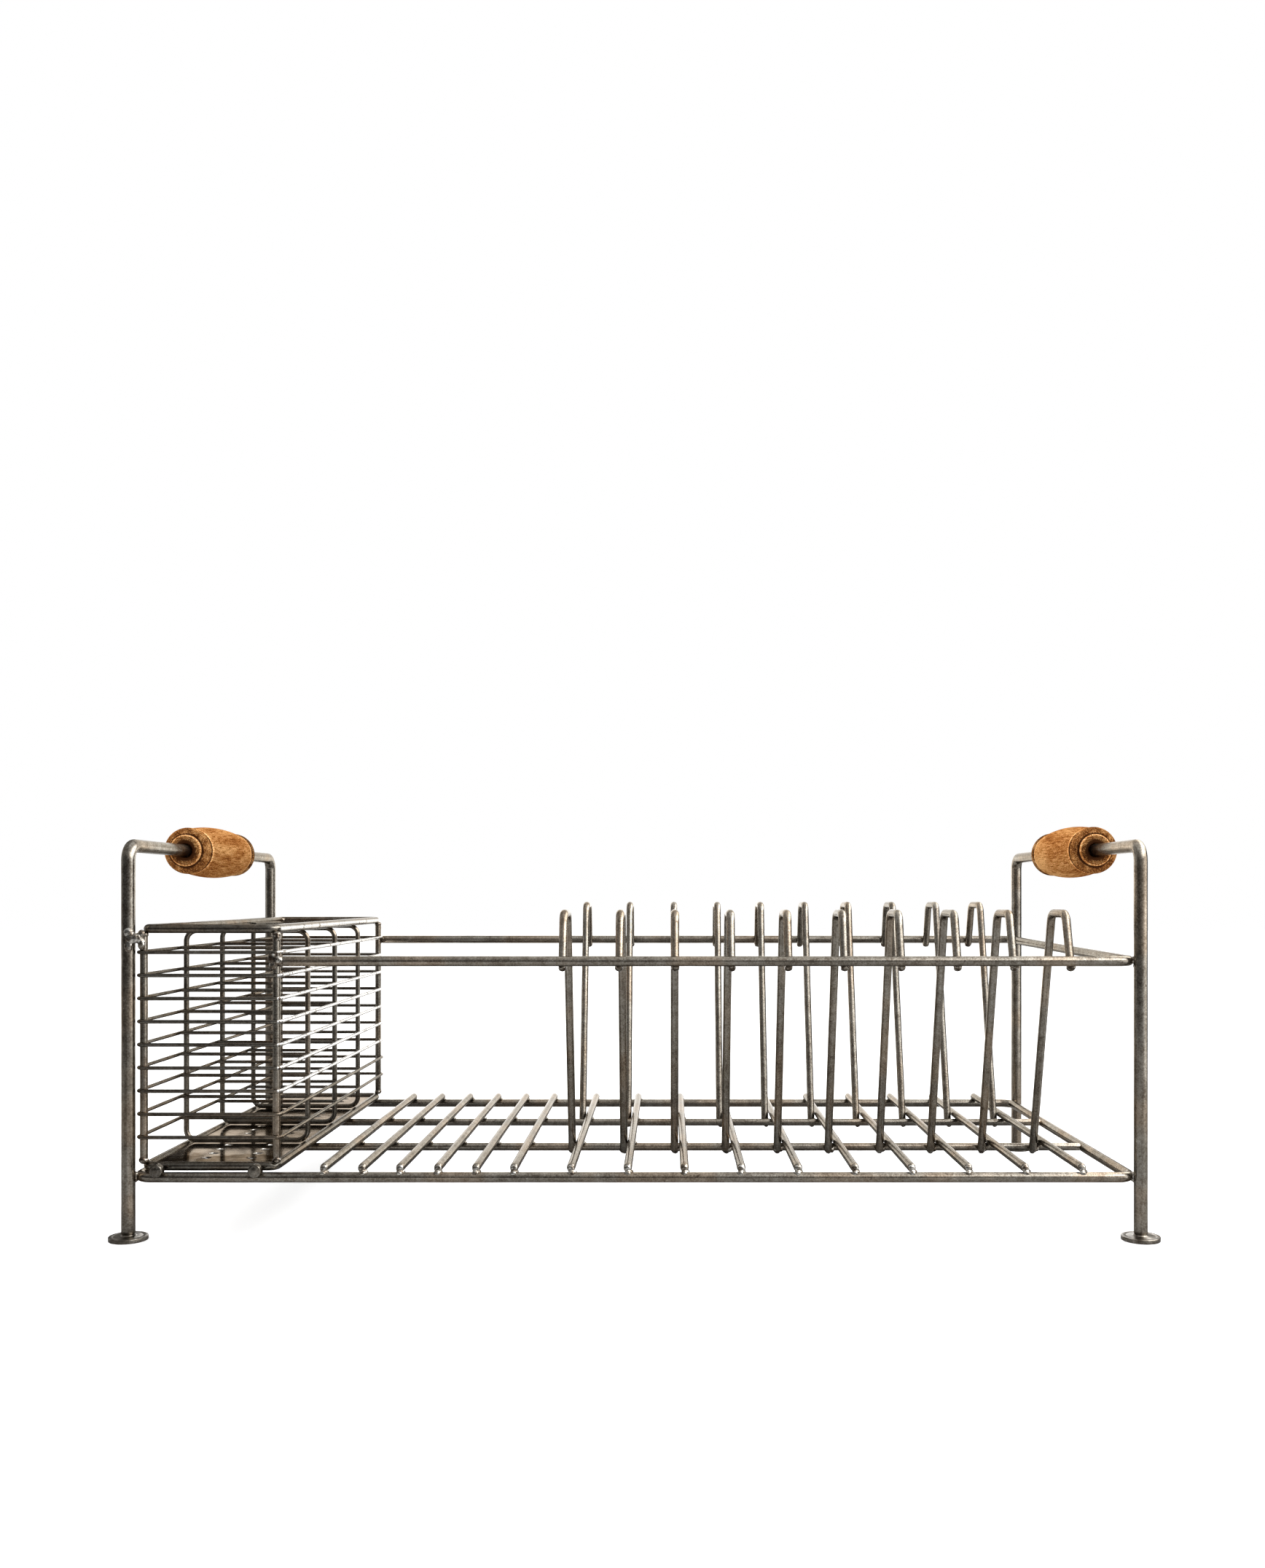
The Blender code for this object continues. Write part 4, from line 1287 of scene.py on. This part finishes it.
bpy.ops.mesh.primitive_plane_add(size=FLOOR_SIZE)
floor = bpy.context.object
floor.name = "studio_floor"
pale_floor = bpy.data.materials.new("pale_floor")
pale = Finish(pale_floor)
place = pale.place()
away = pale.node("ShaderNodeVectorMath", {"operation": "LENGTH"}, {0: place}, "Value")
lift = pale.rising(away, NEAR_REACH, FAR_REACH) * (FAR_LIFT - NEAR_LIFT) + NEAR_LIFT
seen = ray(pale, "Camera")
mirrored = ray(pale, "Glossy")
bounced = ray(pale, "Diffuse")
across = pale.part(place, "X")
behind = pale.part(place, "Y")
shade = mirrored * pale.ramp(across + 0.5, grey_stops(FLOOR_SHADES, -0.5, 1))
under = pale.rising(behind, *UNDER_FRONT) * (1 - pale.rising(behind, *UNDER_BACK))
under = under * (1 - pale.rising(pale.math_node("ABSOLUTE", across), *UNDER_SIDE))
shade = pale.math_node("MAXIMUM", shade, mirrored * under * UNDER_SHADE) + bounced * BOUNCE_SHADE
glow = seen * lift / FLOOR_BEHIND_GLOW + mirrored * pale.rising(behind, *FLOOR_BEHIND)
glow = pale.blend(glow, (0, 0, 0), (1, 1, 1))
pale.set(Base_Color=pale.blend(shade, (FLOOR_COLOUR,) * 3, (0, 0, 0)), Roughness=0.9)
pale.set(Emission_Color=glow, Emission_Strength=FLOOR_BEHIND_GLOW)
floor.data.materials.append(pale_floor)

bpy.ops.mesh.primitive_cylinder_add(
    vertices=WALL_SIDES,
    radius=WALL_RADIUS,
    depth=WALL_HEIGHT,
    end_fill_type="NGON",
    location=(0, 0, WALL_HEIGHT / 2),
)
wall = bpy.context.object
wall.name = "studio_wall"
bpy.ops.object.transform_apply()
bpy.ops.object.mode_set(mode="EDIT")
bpy.ops.mesh.select_all(action="DESELECT")
shape = bmesh.from_edit_mesh(wall.data)
for face in shape.faces:
    face.select_set(face.normal.y > WALL_OPENS or face.normal.z < -UPRIGHT)
bmesh.update_edit_mesh(wall.data)
bpy.ops.mesh.delete(type="FACE")
bpy.ops.object.mode_set(mode="OBJECT")
room = bpy.data.materials.new("dim_room")
dim = Finish(room)
place = dim.place()
across = dim.part(place, "X")
deep = dim.part(place, "Y")
height = dim.part(place, "Z")
bearing = dim.math_node("ARCTAN2", across, deep * -1) / math.tau + 0.5
around = dim.ramp(bearing, grey_stops(WALL_LEVELS, -180, 360, WALL_BRIGHTEST))
from_left = across * 0.5 + 0.5
overhead = dim.ramp(from_left, grey_stops(CEILING_LEVELS, -1, 2, WALL_BRIGHTEST))
in_front = dim.ramp(from_left, grey_stops(FRONT_LEVELS, -1, 2, WALL_BRIGHTEST))
overhead = dim.blend(dim.rising(deep, *FRONT_FADE), in_front, overhead)
shine(dim, dim.blend(dim.rising(height, *WALL_FADE), around, overhead), WALL_BRIGHTEST)
wall.data.materials.append(room)

bpy.ops.mesh.primitive_plane_add(
    size=BACKDROP_SIZE,
    location=(0, BACKDROP_DISTANCE, BACKDROP_SIZE / 2),
    rotation=UPENDED,
)
backdrop = bpy.context.object
backdrop.name = "studio_backdrop"
bpy.ops.object.transform_apply()
bright = bpy.data.materials.new("bright_backdrop")
lit = Finish(bright)
height = lit.part(lit.place(), "Z")
ends = [(level / BACKDROP_LOW,) * 3 for level in (BACKDROP_LOW, BACKDROP_HIGH)]
shine(lit, lit.blend(lit.rising(height, *BACKDROP_FADE), *ends), BACKDROP_LOW)
backdrop.data.materials.append(bright)
for piece in (wall, backdrop):
    piece.visible_camera = False
    piece.visible_diffuse = False
    piece.visible_shadow = False

world = bpy.data.worlds.new("studio")
bpy.context.scene.world = world
sky = Finish(world, "Background")
white = sky.rising(ray(sky, "Camera") + ray(sky, "Glossy") + ray(sky, "Transmission"), 0, 1)
sky.set(Color=(1, 1, 1, 1), Strength=white * (1 - WORLD_LEVEL) + WORLD_LEVEL)

for name, place, size, power in LAMPS:
    bpy.ops.object.light_add(type="AREA", location=place)
    lamp = bpy.context.object
    lamp.name = name
    lamp.data.size = size
    lamp.data.energy = power
    aim = Vector(LAMP_AIM) - Vector(place)
    lamp.rotation_euler = aim.to_track_quat("-Z", "Y").to_euler()

# The camera stands in front at the photograph's distance and height, a little right of the middle. It looks
# level, and its frame is shifted so that the horizon and the vanishing point lie where they do there.
CAMERA_PLACE = (0.0177, -0.825, 0.1811)
PICTURE_WIDTH, PICTURE_HEIGHT = 1736, 2151
HORIZON_ROW = 1228
VANISHING_COLUMN = 917
LENS_PIXELS = 1828
SENSOR = 36

bpy.ops.object.camera_add(location=CAMERA_PLACE, rotation=UPENDED)
camera = bpy.context.object
camera.data.sensor_fit = "VERTICAL"
camera.data.sensor_height = SENSOR
camera.data.lens = SENSOR * LENS_PIXELS / PICTURE_HEIGHT
camera.data.shift_x = (PICTURE_WIDTH / 2 - VANISHING_COLUMN) / PICTURE_HEIGHT
camera.data.shift_y = (HORIZON_ROW - PICTURE_HEIGHT / 2) / PICTURE_HEIGHT
bpy.context.scene.camera = camera
bpy.context.scene.view_settings.view_transform = "Standard"

bpy.context.view_layer.update()
